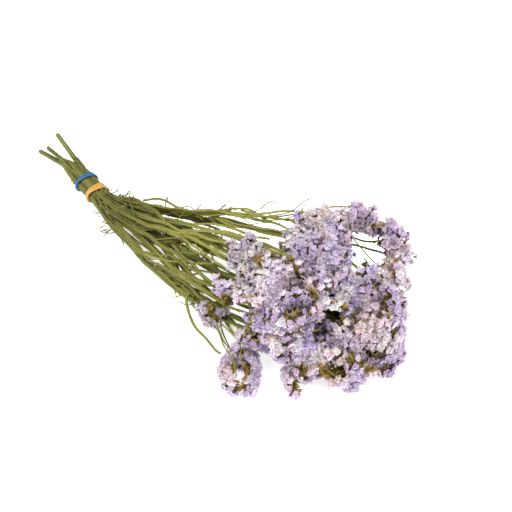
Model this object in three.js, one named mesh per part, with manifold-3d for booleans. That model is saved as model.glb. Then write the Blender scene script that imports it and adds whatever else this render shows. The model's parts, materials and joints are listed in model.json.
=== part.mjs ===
// A tied bunch of dried statice, lying down: ten winged stems held by two rubber bands,
// which fork into curled one-sided combs of papery lilac calyxes with scaly green spines.
// Millimetres, +Z up. The stems run along +X, from the cut ends to the flowers, and the
// origin is under the middle of the bunch, on the surface that it lies on.

import * as THREE from "three";
import { mergeVertices } from "three/addons/utils/BufferGeometryUtils.js";
import Module from "manifold-3d";

const wasm = await Module();
wasm.setup();

// Driving dimensions. Places are measured from the point under the middle of the tie.

const SEED = 20;
const CLEARANCE = 0.35; // between neighbouring pieces

const WAIST_HEIGHT = 22; // the bundle's centre line over the surface, where it is tied
const WAIST_REACH = 26; // the stems lie straight this far to each side of the tie's middle
const WAIST_TURN = -12; // degrees from +X to the way that the tied stems point
const STEM_PITCH = 6.5; // from stem to stem in the tied rows
const ROW_PITCH = 5.7;

const STEM_SIDES = 6; // three wings, and a valley between each two
const STEM_WAIST_RADIUS = 3.6;
const STEM_WING_RADIUS = 4;
const STEM_TIP_RADIUS = 2.2;
const STEM_VALLEY = 0.6; // a valley's radius, as a share of the wings'
const STEM_TWIST = 0.006; // radians for each millimetre
const STEM_SWELL = { from: 26, to: 90 }; // the wings widen after the tie, along X
const STEM_TAPER = { from: 150, to: 340 }; // and narrow towards the tip

const BRANCH_RADIUS = 2;
const SPINE_RADIUS = 1.4;
const BRANCH_SIDES = 3;
const BRANCH_STEPS = 4;
const BRANCH_HANDLES = [0.16, 0.27]; // at its stem and at its root, as shares of its span
const BRACT_REACH = 3.6; // from a spine's centre line to a bract's point

const CORE_HALF_WIDTH = 2.7; // a comb's core is a three-sided ridge
const CORE_RIDGE = 1.8;
const CORE_BASE = 0.9;
const CORE_LIFT = 2.9; // from the spine's centre line to the core's
const CORE_PITCH = 12.5; // a calyx stands to each side on each such length of a core

const CALYX_CORNERS = 5;
const CALYX_RADIUS = 7.4;
const CALYX_HEIGHT = 12.5;
const CALYX_DEPTH = 3.5;
const CALYX_RUFFLE = 1.2;
const CALYX_SPLAY = 36; // degrees to the left or right of a comb
const CALYX_CROWD = 0.7; // how far a dome's innermost calyxes bend the way it faces
const CALYX_LEANS = [0, 12, -12, 24, -24]; // degrees, tried in turn to stand clear

// A comb is an arc. It leaves its spray's root at the first angle from the way that the
// spray faces, and turns through the second one. A lantern's combs curl inwards, so each
// one's calyxes are a piece of their own, and its spine is bare for a share at the root.
const DOME = { leaves: 30, turns: 96, depth: 0.35 };
const LANTERN = { leaves: 46, turns: -80, depth: 0.45, bare: 0.1 };

const LILAC = 0xb9a3dd;
const BLUISH = 0xa79cf0;
const PINKISH = 0xe3cfdf;
const GREYISH = 0xb6abc6;

// Each stem: its place in the tied rows (across, up), its cut end, the points that it
// passes after the tie, and its sprays. A spray leaves at a share of the way from the tie
// to the stem's tip. It faces an azimuth and an elevation in degrees from its heart, the
// middle of its flowers, and its combs, of the given length, are turned round that way.
const STEMS = [
  {
    row: [-1, -1],
    cut: [-34, -3, 16],
    path: [[92, -30, 16], [150, -45, 18], [240, -56, 20], [318, -54, 26]],
    sprays: [
      { heart: [361, -96, 15], leaves: 0.4, face: [-48, -5], turn: 0, combs: 2, curl: LANTERN, length: 60 },
      { heart: [336, -68, 32], leaves: 0.55, face: [-100, 20], turn: 30, combs: 1, length: 28 },
      { heart: [390, -57, 51], leaves: 0.6, face: [-60, 5], turn: 20, combs: 2, length: 36 },
      { heart: [414, -64, 26], leaves: 0.85, face: [-138, 30], turn: 0, combs: 2, length: 32 },
      { heart: [480, -28, 30], leaves: 1, face: [-50, -10], turn: 180, combs: 1, length: 44 },
    ],
  },
  {
    row: [-1.5, 0],
    cut: [-33, -7, 23],
    path: [[110, -25, 30], [205, -47, 40], [300, -56, 52]],
    sprays: [
      { heart: [296, -73, 28], leaves: 0.5, face: [-100, -5], turn: 150, combs: 1, length: 24, tint: GREYISH },
      { heart: [306, -46, 72], leaves: 0.7, face: [-95, 30], turn: 20, combs: 2, length: 34 },
      { heart: [396, -74, 92], leaves: 0.65, face: [-70, 25], turn: 50, combs: 3, length: 38 },
      { heart: [430, -50, 54], leaves: 1, face: [-60, 10], turn: 10, combs: 2, length: 38, tint: PINKISH },
    ],
  },
  {
    row: [-1, 1],
    cut: [-38, 0, 32],
    path: [[124, -12, 46], [205, -12, 68], [300, -18, 84]],
    sprays: [
      { heart: [298, -16, 99], leaves: 0.4, face: [-90, 50], turn: 60, combs: 3, length: 34, tint: GREYISH },
      { heart: [346, -20, 108], leaves: 0.6, face: [-95, 35], turn: 40, combs: 2, length: 40, tint: PINKISH },
      { heart: [376, -56, 114], leaves: 0.85, face: [-60, 50], turn: 15, combs: 2, length: 42 },
      { heart: [408, -20, 107], leaves: 1, face: [-70, 35], turn: 0, combs: 2, length: 38, tint: PINKISH },
      { heart: [420, -56, 86], leaves: 0.75, face: [-45, 25], turn: 60, combs: 2, length: 38 },
    ],
  },
  {
    row: [0, 1],
    cut: [-32, 7, 29],
    path: [[130, 4, 46], [235, 16, 74], [330, 22, 92]],
    sprays: [
      { heart: [306, 51, 96], leaves: 0.35, face: [110, 50], turn: 220, combs: 1, length: 24, tint: GREYISH },
      { heart: [334, 35, 108], leaves: 0.55, face: [-85, 60], turn: 50, combs: 2, length: 38 },
      { heart: [390, 16, 128], leaves: 0.75, face: [-45, 60], turn: 20, combs: 3, length: 38, tint: BLUISH },
      { heart: [424, 26, 106], leaves: 1, face: [-25, 35], turn: 30, combs: 2, length: 40, tint: BLUISH },
    ],
  },
  {
    row: [1, 1],
    cut: [-99, 28, 45],
    path: [[80, 8, 40], [142, 20, 56], [235, 55, 82], [300, 76, 96]],
    sprays: [
      { heart: [356, 68, 130], leaves: 0.65, face: [-60, 65], turn: 45, combs: 3, length: 42 },
      { heart: [369, 112, 107], leaves: 0.75, face: [-58, -5], turn: -10, combs: 2, length: 36 },
      { heart: [330, 92, 106], leaves: 0.55, face: [110, 45], turn: 30, combs: 1, length: 20 },
      { heart: [404, 141, 92], leaves: 0.95, face: [0, 50], turn: 20, combs: 2, length: 34 },
    ],
  },
  {
    row: [1.5, 0],
    cut: [-33, 18, 24],
    path: [[150, 36, 38], [245, 68, 54], [325, 88, 66]],
    sprays: [
      { heart: [420, 130, 76], leaves: 0.55, face: [-25, 35], turn: 90, combs: 2, length: 42 },
      { heart: [446, 92, 66], leaves: 1, face: [-15, 25], turn: 60, combs: 2, length: 40 },
      { heart: [318, 110, 61], leaves: 0.25, face: [125, 10], turn: 20, combs: 2, length: 34 },
    ],
  },
  {
    row: [-0.5, 0],
    cut: [-31, 2, 22],
    path: [[160, -12, 36], [260, -18, 50], [345, -16, 60]],
    sprays: [
      { heart: [390, -2, 76], leaves: 0.5, face: [-60, 40], turn: 20, combs: 2, length: 36 },
      { heart: [452, -17, 67], leaves: 0.95, face: [-50, 15], turn: 40, combs: 2, length: 38, tint: PINKISH },
      { heart: [440, 30, 90], leaves: 0.8, face: [-15, 40], turn: 60, combs: 2, length: 38 },
      { heart: [470, 10, 78], leaves: 0.97, face: [-35, 40], turn: 20, combs: 2, length: 34, tint: PINKISH },
    ],
  },
  {
    row: [0, -1],
    cut: [-36, 6, 12],
    path: [[160, -4, 20], [260, -6, 26], [350, -2, 30]],
    sprays: [
      { heart: [410, -6, 22], leaves: 0.6, face: [-50, 0], turn: 5, combs: 2, length: 38 },
      { heart: [475, 18, 18], leaves: 0.7, face: [-45, 0], turn: 10, combs: 2, length: 34 },
      { heart: [488, 31, 40], leaves: 0.95, face: [-5, 10], turn: 70, combs: 2, length: 36 },
      { heart: [433, 38, 24], leaves: 0.75, face: [30, 0], turn: 20, combs: 2, length: 36 },
    ],
  },
  {
    row: [1, -1],
    cut: [-131, 17, 3.4],
    path: [[150, 26, 20], [245, 48, 26], [320, 62, 30]],
    sprays: [
      { heart: [346, 90, 22], leaves: 0.45, face: [100, 5], turn: 10, combs: 2, length: 36 },
      { heart: [402, 108, 33], leaves: 0.65, face: [60, 0], turn: 40, combs: 2, length: 38 },
      { heart: [450, 80, 19], leaves: 1, face: [20, 5], turn: 10, combs: 2, length: 40 },
    ],
  },
  {
    row: [0.5, 0],
    cut: [-110, 17, 22],
    path: [[160, 14, 38], [260, 34, 52], [345, 44, 62]],
    sprays: [
      { heart: [404, 64, 64], leaves: 0.5, face: [80, 50], turn: 20, combs: 2, length: 34 },
      { heart: [433, 17, 73], leaves: 0.7, face: [-25, 20], turn: 70, combs: 2, length: 28 },
      { heart: [468, 60, 62], leaves: 1, face: [10, 15], turn: 90, combs: 2, length: 42 },
    ],
  },
];

// A band is one strand, wound twice round the tie and closed on itself. Its two turns
// swing apart along the stems and pass over each other once.
const BANDS = [
  { name: "band_blue", x: -15, width: 4, thickness: 1.5, swing: 2.9, colour: 0x2374c4 },
  { name: "band_orange", x: 13, width: 6, thickness: 1.2, swing: 4.2, colour: 0xdf9a3f },
];
const BAND_STEPS = 44;
const BAND_CROSSING = 1.7; // how steeply a band's turns climb over each other
const TIE = { half_width: 14, half_height: 9.9, power: 2.8 }; // a rounded box round the stems

const GREEN = 0x7f8a3c;

// Draws and directions.

let state = SEED;

// A seeded draw between two numbers (mulberry32).
function draw(low, high) {
  state = (state + 0x6d2b79f5) | 0;
  let mixed = Math.imul(state ^ (state >>> 15), 1 | state);
  mixed = (mixed + Math.imul(mixed ^ (mixed >>> 7), 61 | mixed)) ^ mixed;
  return low + (high - low) * (((mixed ^ (mixed >>> 14)) >>> 0) / 4294967296);
}

const radians = THREE.MathUtils.degToRad;
const UP = new THREE.Vector3(0, 0, 1);
const point = (triple) => new THREE.Vector3(...triple);
const evenly = (steps) => Array.from({ length: steps + 1 }, (_, i) => i / steps);

// The unit vector towards an azimuth and an elevation in degrees.
function towards(azimuth, elevation) {
  const [a, e] = [radians(azimuth), radians(elevation)];
  return new THREE.Vector3(Math.cos(a) * Math.cos(e), Math.sin(a) * Math.cos(e), Math.sin(e));
}

// Solids and geometries.

const SLIVER = 0.03; // shorter edges close up where solids are joined or cut

function solidOf(geometry) {
  geometry.deleteAttribute("normal");
  geometry.deleteAttribute("uv");
  const closed = mergeVertices(geometry, 1e-4);
  return new wasm.Manifold(
    new wasm.Mesh({
      numProp: 3,
      vertProperties: new Float32Array(closed.attributes.position.array),
      triVerts: new Uint32Array(closed.index.array),
      tolerance: SLIVER,
    }),
  );
}

// The geometry of a solid, with its vertices on a grid of two thousandths of a
// millimetre, so that the slivers that cutting leaves close up.
function geometryOf(solid) {
  const mesh = solid.getMesh();
  const grid = 500;
  const ids = new Map();
  const positions = [];
  const idOf = (vertex) => {
    const start = vertex * mesh.numProp;
    const place = [0, 1, 2].map((axis) => Math.round(mesh.vertProperties[start + axis] * grid));
    const key = place.join();
    if (!ids.has(key)) {
      ids.set(key, ids.size);
      positions.push(...place.map((value) => value / grid));
    }
    return ids.get(key);
  };
  const index = [];
  for (let i = 0; i < mesh.triVerts.length; i += 3) {
    const [a, b, c] = [0, 1, 2].map((corner) => idOf(mesh.triVerts[i + corner]));
    if (a !== b && b !== c && c !== a) index.push(a, b, c);
  }
  const geometry = new THREE.BufferGeometry();
  geometry.setAttribute("position", new THREE.Float32BufferAttribute(positions, 3));
  geometry.setIndex(index);
  return geometry;
}

// The solids as one, without the hollows and scraps that their surfaces may cut off.
function joined(solids) {
  const whole = solids.reduce((sum, solid) => sum.add(solid));
  return whole.decompose().reduce((most, body) => (body.volume() > most.volume() ? body : most));
}

// A tube through frames, each with its point, its normal and its side: a closed cylinder
// with its corners moved. reach() gives a corner's place across and along the normal, for
// a step and the corner's number.
function tube(frames, sides, reach) {
  const steps = frames.length - 1;
  const geometry = new THREE.CylinderGeometry(1, 1, 1, sides, steps);
  const vertices = geometry.attributes.position;
  for (let i = 0; i < vertices.count; i++) {
    const [x, y, z] = [vertices.getX(i), vertices.getY(i), vertices.getZ(i)];
    const turn = Math.atan2(x, z) / (2 * Math.PI);
    const step = Math.round((y + 0.5) * steps);
    const corner = Math.round((turn + 1) * sides) % sides;
    const [across, up] = reach(step, corner);
    const out = Math.hypot(x, z);
    const { at, normal, side } = frames[step];
    const moved = at.clone().addScaledVector(side, across * out).addScaledVector(normal, up * out);
    vertices.setXYZ(i, moved.x, moved.y, moved.z);
  }
  return solidOf(geometry);
}

// Frames along a curve at the given stations, with a normal that turns as little as it can.
function framesAlong(curve, stations) {
  const normal = UP.clone();
  return stations.map((t) => {
    const tangent = curve.getTangent(t);
    normal.addScaledVector(tangent, -normal.dot(tangent)).normalize();
    const side = new THREE.Vector3().crossVectors(tangent, normal);
    return { at: curve.getPoint(t), normal: normal.clone(), side };
  });
}

// Curves.

const WAIST_POINTS = [-WAIST_REACH, 0, WAIST_REACH];

function stemCurve(stem) {
  const across = stem.row[0] * STEM_PITCH;
  const up = WAIST_HEIGHT + stem.row[1] * ROW_PITCH;
  const waist = WAIST_POINTS.map((x) => point([x, across, up]).applyAxisAngle(UP, radians(WAIST_TURN)));
  return new THREE.CatmullRomCurve3([point(stem.cut), ...waist, ...stem.path.map(point)]);
}

// The station on a stem's curve at a share of the way from the tie to the tip.
function stationOf(stem, share) {
  const segments = WAIST_POINTS.length + stem.path.length;
  return (WAIST_POINTS.length + share * stem.path.length) / segments;
}

// A spray's root, the way it faces, and the ways that its combs lean out.
function layOut(spray) {
  const { heart, face, turn, combs, curl = DOME, length } = spray;
  const facing = towards(...face);
  const level = towards(face[0] + 90, 0);
  const rise = new THREE.Vector3().crossVectors(facing, level);
  const leaning = Array.from({ length: combs }, (_, i) => {
    const angle = radians(turn + (360 * i) / combs);
    return level.clone().multiplyScalar(Math.cos(angle)).addScaledVector(rise, Math.sin(angle));
  });
  const root = point(heart).addScaledVector(facing, -curl.depth * length);
  return { root, facing, leaning, curl };
}

function branchCurve(stem, spray) {
  const trunk = stemCurve(stem);
  const station = stationOf(stem, spray.leaves);
  const start = trunk.getPoint(station);
  const { root, facing } = layOut(spray);
  const span = start.distanceTo(root);
  const leaving = root.clone().sub(start).normalize().add(trunk.getTangent(station));
  const first = start.clone().addScaledVector(leaving, BRANCH_HANDLES[0] * span);
  const second = root.clone().addScaledVector(facing, -BRANCH_HANDLES[1] * span);
  return new THREE.CubicBezierCurve3(start, first, second, root);
}

// The frames of one comb. The normal points to the outside of its arc, where the calyxes
// stand; lift moves the frames along it.
function combFrames(spray, leaning, stations, lift = 0) {
  const { root, facing, curl } = layOut(spray);
  const leaves = radians(curl.leaves);
  const turns = radians(curl.turns);
  const radius = spray.length / turns;
  const outside = Math.sign(turns);
  return stations.map((t) => {
    const angle = leaves + turns * t;
    const normal = facing.clone().multiplyScalar(Math.sin(angle) * outside);
    normal.addScaledVector(leaning, -Math.cos(angle) * outside);
    const tangent = facing.clone().multiplyScalar(Math.cos(angle));
    tangent.addScaledVector(leaning, Math.sin(angle));
    const at = root
      .clone()
      .addScaledVector(facing, radius * (Math.sin(angle) - Math.sin(leaves)))
      .addScaledVector(leaning, radius * (Math.cos(leaves) - Math.cos(angle)))
      .addScaledVector(normal, lift);
    const side = new THREE.Vector3().crossVectors(tangent, normal);
    return { at, normal, side };
  });
}

// The green parts: a stem's winged main stem, its branches, and the combs' spines.

function wingRadius(x) {
  if (x < -WAIST_REACH - STEM_PITCH) return STEM_WING_RADIUS;
  const swell = THREE.MathUtils.smoothstep(x, STEM_SWELL.from, STEM_SWELL.to);
  const taper = THREE.MathUtils.smoothstep(x, STEM_TAPER.from, STEM_TAPER.to);
  const swollen = THREE.MathUtils.lerp(STEM_WAIST_RADIUS, STEM_WING_RADIUS, swell);
  return THREE.MathUtils.lerp(swollen, STEM_TIP_RADIUS, taper);
}

function mainStem(stem) {
  const segments = WAIST_POINTS.length + stem.path.length;
  const stations = [];
  for (let i = 0; i < segments; i++) {
    const steps = i === 1 || i === 2 ? 1 : 2;
    for (let j = 0; j < steps; j++) stations.push((i + j / steps) / segments);
  }
  stations.push(1);
  const frames = framesAlong(stemCurve(stem), stations);
  return tube(frames, STEM_SIDES, (step, corner) => {
    const x = frames[step].at.x;
    const radius = wingRadius(x) * (corner % 2 ? STEM_VALLEY : 1);
    const angle = (2 * Math.PI * corner) / STEM_SIDES + STEM_TWIST * x;
    return [radius * Math.sin(angle), radius * Math.cos(angle)];
  });
}

// A corner of a three-sided section. The first one points away from the normal.
function threeSided(corner, radius) {
  const angle = Math.PI + (2 * Math.PI * corner) / BRANCH_SIDES;
  return [radius * Math.sin(angle), radius * Math.cos(angle)];
}

function branch(stem, spray) {
  const frames = framesAlong(branchCurve(stem, spray), evenly(BRANCH_STEPS));
  return tube(frames, BRANCH_SIDES, (step, corner) => {
    const radius = THREE.MathUtils.lerp(BRANCH_RADIUS, SPINE_RADIUS, step / BRANCH_STEPS);
    return threeSided(corner, radius);
  });
}

const coreSteps = (spray) => Math.round(spray.length / CORE_PITCH);

// A comb's spine, with a pointed bract on every other step of its inner side.
function spine(spray, leaning) {
  const frames = combFrames(spray, leaning, evenly(2 * coreSteps(spray)));
  return tube(frames, BRANCH_SIDES, (step, corner) => {
    return threeSided(corner, corner === 0 && step % 2 ? BRACT_REACH : SPINE_RADIUS);
  });
}

function greenOf(stem) {
  const shoots = stem.sprays.flatMap((spray) => {
    return [branch(stem, spray), ...layOut(spray).leaning.map((leaning) => spine(spray, leaning))];
  });
  return joined([mainStem(stem), ...shoots]);
}

// The lilac parts.

// The faces between two rings of corners that go round the same way.
function between(low, high) {
  const faces = [];
  let [i, j] = [0, 0];
  while (i < low.length || j < high.length) {
    const [a, b] = [low[i % low.length], high[j % high.length]];
    if (j / high.length <= i / low.length) faces.push([a, high[++j % high.length], b]);
    else faces.push([a, low[++i % low.length], b]);
  }
  return faces;
}

// A funnel-shaped calyx on a three-cornered foot: the points of its rim and its throat.
function calyx(foot, along, ruffle, growth = 0) {
  const centre = foot[0].clone().add(foot[1]).add(foot[2]).divideScalar(3);
  const first = foot[0].clone().sub(centre);
  first.addScaledVector(along, -first.dot(along)).normalize();
  const rim = ruffle.map((rise, i) => {
    return first
      .clone()
      .applyAxisAngle(along, (2 * Math.PI * i) / CALYX_CORNERS)
      .multiplyScalar(CALYX_RADIUS + growth)
      .addScaledVector(along, CALYX_HEIGHT + rise)
      .add(centre);
  });
  const throat = centre.clone().addScaledVector(along, CALYX_HEIGHT - CALYX_DEPTH + growth);
  return { rim, throat };
}

// A closed surface under way. Corners go anticlockwise, seen from outside.
class Surface {
  points = [];
  index = [];

  corner(place) {
    return this.points.push(place) - 1;
  }

  face(...corners) {
    for (let i = 2; i < corners.length; i++) this.index.push(corners[0], corners[i - 1], corners[i]);
  }

  raise(foot, { rim, throat }) {
    const ring = rim.map((place) => this.corner(place));
    const middle = this.corner(throat);
    for (const face of between(foot, ring)) this.face(...face);
    ring.forEach((corner, i) => this.face(corner, ring[(i + 1) % ring.length], middle));
  }

  solid() {
    const geometry = new THREE.BufferGeometry().setFromPoints(this.points);
    geometry.setIndex(this.index);
    return solidOf(geometry);
  }
}

function boxesMeet(a, b) {
  return [0, 1, 2].every((axis) => a.min[axis] < b.max[axis] && b.min[axis] < a.max[axis]);
}

// Whether a solid stands clear of pieces that are there already.
function isClear(solid, pieces) {
  const box = solid.boundingBox();
  return pieces.every((piece) => {
    return !boxesMeet(box, piece.box) || solid.intersect(piece.solid).volume() < 1e-6;
  });
}

// The calyx for a foot, leaning as far as it must to stand clear of the other pieces, or
// none where it can't.
function clearCalyx(foot, along, others) {
  const ruffle = Array.from({ length: CALYX_CORNERS }, () => draw(-CALYX_RUFFLE, CALYX_RUFFLE));
  const axis = point([draw(-1, 1), draw(-1, 1), draw(-1, 1)]).cross(along).normalize();
  for (const lean of CALYX_LEANS) {
    const leaning = along.clone().applyAxisAngle(axis, radians(lean));
    const room = new Surface();
    const base = foot.map((place) => room.corner(place));
    room.face(...base.toReversed());
    room.raise(base, calyx(foot, leaning, ruffle, CLEARANCE));
    if (isClear(room.solid(), others)) return calyx(foot, leaning, ruffle);
  }
  return null;
}

// The station where a dome's cores meet over its root, or where a lantern's start.
function coreStart(spray) {
  const { curl } = layOut(spray);
  if (curl.bare) return curl.bare;
  const radius = spray.length / radians(curl.turns);
  const meet = Math.acos((radius * Math.cos(radians(curl.leaves))) / (radius + CORE_LIFT));
  return (THREE.MathUtils.radToDeg(meet) - curl.leaves) / curl.turns;
}

// A comb's core, a three-sided ridge, with a calyx to the left and to the right of it on
// each step. Without other pieces to stand clear of, the core is bare.
function comb(spray, leaning, others = null) {
  const { facing, curl } = layOut(spray);
  const start = coreStart(spray);
  const steps = coreSteps(spray);
  const stations = evenly(steps).map((t) => start + (1 - start) * t);
  const frames = combFrames(spray, leaning, stations, CORE_LIFT);
  const surface = new Surface();
  const corner = ({ at, normal, side }, across, up) => {
    return surface.corner(at.clone().addScaledVector(side, across).addScaledVector(normal, up));
  };
  const ridge = frames.map((frame) => corner(frame, 0, CORE_RIDGE));
  const left = frames.map((frame) => corner(frame, -CORE_HALF_WIDTH, -CORE_BASE));
  const right = frames.map((frame) => corner(frame, CORE_HALF_WIDTH, -CORE_BASE));

  const grow = (foot, frame, splay, t) => {
    const along = frame.normal.clone().multiplyScalar(Math.cos(radians(splay)));
    along.addScaledVector(frame.side, Math.sin(radians(splay)));
    if (curl === DOME) along.addScaledVector(facing, CALYX_CROWD * (1 - t)).normalize();
    const grown = others && clearCalyx(foot.map((i) => surface.points[i]), along, others);
    if (grown) surface.raise(foot, grown);
    else surface.face(...foot);
  };

  surface.face(left[0], right[0], ridge[0]);
  for (let i = 0; i < steps; i++) {
    surface.face(left[i], left[i + 1], right[i + 1], right[i]);
    surface.face(right[i], right[i + 1], ridge[i + 1]);
    grow([ridge[i], right[i], ridge[i + 1]], frames[i], CALYX_SPLAY, i / steps);
    surface.face(left[i], ridge[i], left[i + 1]);
    grow([ridge[i + 1], left[i + 1], ridge[i]], frames[i + 1], -CALYX_SPLAY, (i + 1) / steps);
  }
  surface.face(left[steps], ridge[steps], right[steps]);
  return surface.solid();
}

// A rubber band: a closed ring, drawn out into two turns round the tie.
function band({ x, width, thickness, swing }) {
  const corners = 4;
  const geometry = new THREE.TorusGeometry(1, 0.5, corners, BAND_STEPS);
  const vertices = geometry.attributes.position;
  for (let i = 0; i < vertices.count; i++) {
    const [px, py, pz] = [vertices.getX(i), vertices.getY(i), vertices.getZ(i)];
    const round = Math.atan2(py, px);
    const corner = Math.round((2 * Math.atan2(pz, Math.hypot(px, py) - 1)) / Math.PI);
    const out = corner === 0 || corner === 1 ? 1 : -1;
    const along = corner === 1 || corner === 2 || corner === -2 ? 1 : -1;
    const angle = 2 * round;
    const [c, s] = [Math.cos(angle), Math.sin(angle)];
    const { half_width, half_height, power } = TIE;
    const inner = (Math.abs(c / half_width) ** power + Math.abs(s / half_height) ** power) ** (-1 / power);
    const layer = (thickness + CLEARANCE) / 2;
    const over = layer * THREE.MathUtils.clamp(BAND_CROSSING * Math.sin(round), -1, 1);
    const radius = inner + layer + thickness / 2 + over + (out * thickness) / 2;
    const away = x + swing * Math.cos(round) + (along * width) / 2;
    vertices.setXYZ(i, away, radius * c, WAIST_HEIGHT + radius * s);
  }
  return solidOf(geometry.rotateZ(radians(WAIST_TURN)));
}

// The bunch. Every piece is planted in turn, and calyxes grow clear of what is there.

const floor = solidOf(new THREE.BoxGeometry(2000, 2000, 200).translate(0, 0, -100));
const pieces = [];

const asPiece = (solid) => ({ solid, box: solid.boundingBox() });

function plant(name, solid, colour) {
  const piece = { name, colour, ...asPiece(solid) };
  pieces.push(piece);
  return piece;
}

const numbered = (prefix, i) => prefix + "_" + String(i + 1).padStart(2, "0");

STEMS.forEach((stem, i) => plant(numbered("stem", i), greenOf(stem), GREEN));
for (const spec of BANDS) plant(spec.name, band(spec), spec.colour);

const plots = [];
STEMS.flatMap((stem) => stem.sprays).forEach((spray, i) => {
  const { leaning, curl } = layOut(spray);
  const groups = curl === LANTERN ? leaning.map((one) => [one]) : [leaning];
  groups.forEach((group, j) => {
    const name = numbered("spray", i) + (groups.length > 1 ? "_comb_" + (j + 1) : "");
    const bare = joined(group.map((one) => comb(spray, one)));
    plots.push({ spray, group, piece: plant(name, bare, spray.tint ?? LILAC) });
  });
});
for (const { spray, group, piece } of plots) {
  const combs = group.map((one) => asPiece(comb(spray, one)));
  group.forEach((one, i) => {
    const others = [...pieces, ...combs].filter((other) => other !== piece && other !== combs[i]);
    combs[i] = asPiece(comb(spray, one, others));
  });
  Object.assign(piece, asPiece(joined(combs.map(({ solid }) => solid))));
}

const bunch = new THREE.Group();
for (const { name, solid, colour } of pieces) {
  const material = new THREE.MeshStandardMaterial({ color: colour, roughness: 0.85, metalness: 0 });
  const mesh = new THREE.Mesh(geometryOf(solid.subtract(floor)), material);
  mesh.name = name;
  bunch.add(mesh);
}
const box = new THREE.Box3().setFromObject(bunch);
bunch.position.set(-(box.min.x + box.max.x) / 2, -(box.min.y + box.max.y) / 2, -box.min.z);

export default bunch;
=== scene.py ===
"""A tied bunch of dried statice, lying down: winged stems under two rubber bands, which
fork into curled combs of papery calyxes with scaly bracts."""

import json
import random
from itertools import accumulate
from math import copysign, cos, pi, radians, sin, sqrt

import bpy
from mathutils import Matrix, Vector

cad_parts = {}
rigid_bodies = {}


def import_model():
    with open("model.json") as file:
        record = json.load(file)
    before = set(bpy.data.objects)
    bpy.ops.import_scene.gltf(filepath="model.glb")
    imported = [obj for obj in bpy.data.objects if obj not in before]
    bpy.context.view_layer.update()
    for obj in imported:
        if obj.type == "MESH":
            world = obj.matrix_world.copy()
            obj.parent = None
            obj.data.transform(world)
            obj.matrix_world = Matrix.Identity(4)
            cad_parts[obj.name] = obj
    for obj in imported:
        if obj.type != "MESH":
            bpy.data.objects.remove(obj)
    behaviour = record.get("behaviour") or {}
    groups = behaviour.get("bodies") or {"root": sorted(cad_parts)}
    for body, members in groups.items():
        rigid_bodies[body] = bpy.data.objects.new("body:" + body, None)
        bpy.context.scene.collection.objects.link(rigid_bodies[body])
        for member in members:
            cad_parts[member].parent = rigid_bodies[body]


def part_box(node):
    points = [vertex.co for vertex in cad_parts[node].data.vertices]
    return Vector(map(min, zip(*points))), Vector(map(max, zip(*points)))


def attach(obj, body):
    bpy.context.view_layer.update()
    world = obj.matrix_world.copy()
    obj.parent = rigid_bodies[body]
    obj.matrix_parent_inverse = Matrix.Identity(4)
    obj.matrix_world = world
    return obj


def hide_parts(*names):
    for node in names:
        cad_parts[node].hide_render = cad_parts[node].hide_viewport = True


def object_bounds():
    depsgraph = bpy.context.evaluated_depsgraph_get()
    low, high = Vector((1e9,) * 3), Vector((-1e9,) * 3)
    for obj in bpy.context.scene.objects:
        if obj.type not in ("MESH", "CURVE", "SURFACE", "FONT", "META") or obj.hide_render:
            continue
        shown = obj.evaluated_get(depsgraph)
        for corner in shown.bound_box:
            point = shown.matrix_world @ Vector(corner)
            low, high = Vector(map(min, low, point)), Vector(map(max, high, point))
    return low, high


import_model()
cad_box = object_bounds()

# ------ numbers and ways


def mix(a, b, t):
    return a + (b - a) * t


def smooth(low, high, x):
    t = min(1, max(0, (x - low) / (high - low)))
    return t * t * (3 - 2 * t)


def towards(azimuth, elevation):
    a, e = radians(azimuth), radians(elevation)
    return Vector((cos(a) * cos(e), sin(a) * cos(e), sin(e)))


def swung(way, other, angle):
    """The way at an angle from one way towards another, square to it."""
    return way * cos(angle) + other * sin(angle)


def beside(off, way):
    """The part of an offset that is square to a way."""
    return off - way * off.dot(way)


# ------ sizes, in millimetres

MM = 0.001
SEED = 31
UP = Vector((0, 0, 1))

# The tied waist: its height, its reach along the stems from the middle, its turn in
# degrees, and the steps between its stems, across and up.
WAIST_HEIGHT = 22
WAIST_REACH = 26
WAIST_TURN = -12
STEM_PITCH = 6.5
ROW_PITCH = 5.7

# The stretches of a stem's curve from its cut end to the far side of the waist.
TIED = 3

# Two ways for a comb to curl. First the angle at which it leaves its branch, the angle
# that it turns through, and how far behind the spray's heart it starts, as a share of its
# length. Then where its calyxes start, their pitch and their size, and the number and the
# size of the nest twigs in its hollow. Last the angles of its rows of calyxes.
DOME = dict(leaves=30, turns=96, depth=0.35, start=0.0, pitch=0.96, size=1, twigs=9, twig=1)
DOME["rows"] = (-62, 0, 60, -28, 36, -80, 18, 76, -10)
LANTERN = dict(leaves=46, turns=-80, depth=0.45, start=0.05, pitch=0.67, size=1.12, twigs=5)
LANTERN |= {"twig": 0.4, "rows": (-75, 0, 70, -40, 35, -92, 90, -18, 52)}

# Where a spray's short combs stand between its one, two or three long ones.
BETWEEN = {1: (90, 180, 270), 2: (62, 118, 242, 298), 3: (60, 180, 300)}


def spray(
    heart, leaves, face, turn, combs, length, tint="lilac", curl=DOME, between=True, nest=False
):
    """A spray: its middle, where on the stem its branch leaves, the way that it faces, the
    turn, the number and the length of its combs, its colour, and how the combs curl. It may
    have short combs between the long ones, and a nest of twigs in its hollow."""
    spec = {"heart": Vector(heart), "leaves": leaves, "face": face, "turn": turn, "combs": combs}
    return spec | {"length": length, "tint": tint, "curl": curl, "between": between, "nest": nest}


def stem_with(row, cut, path, *sprays):
    return {"row": row, "cut": cut, "path": path, "sprays": sprays}


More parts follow.
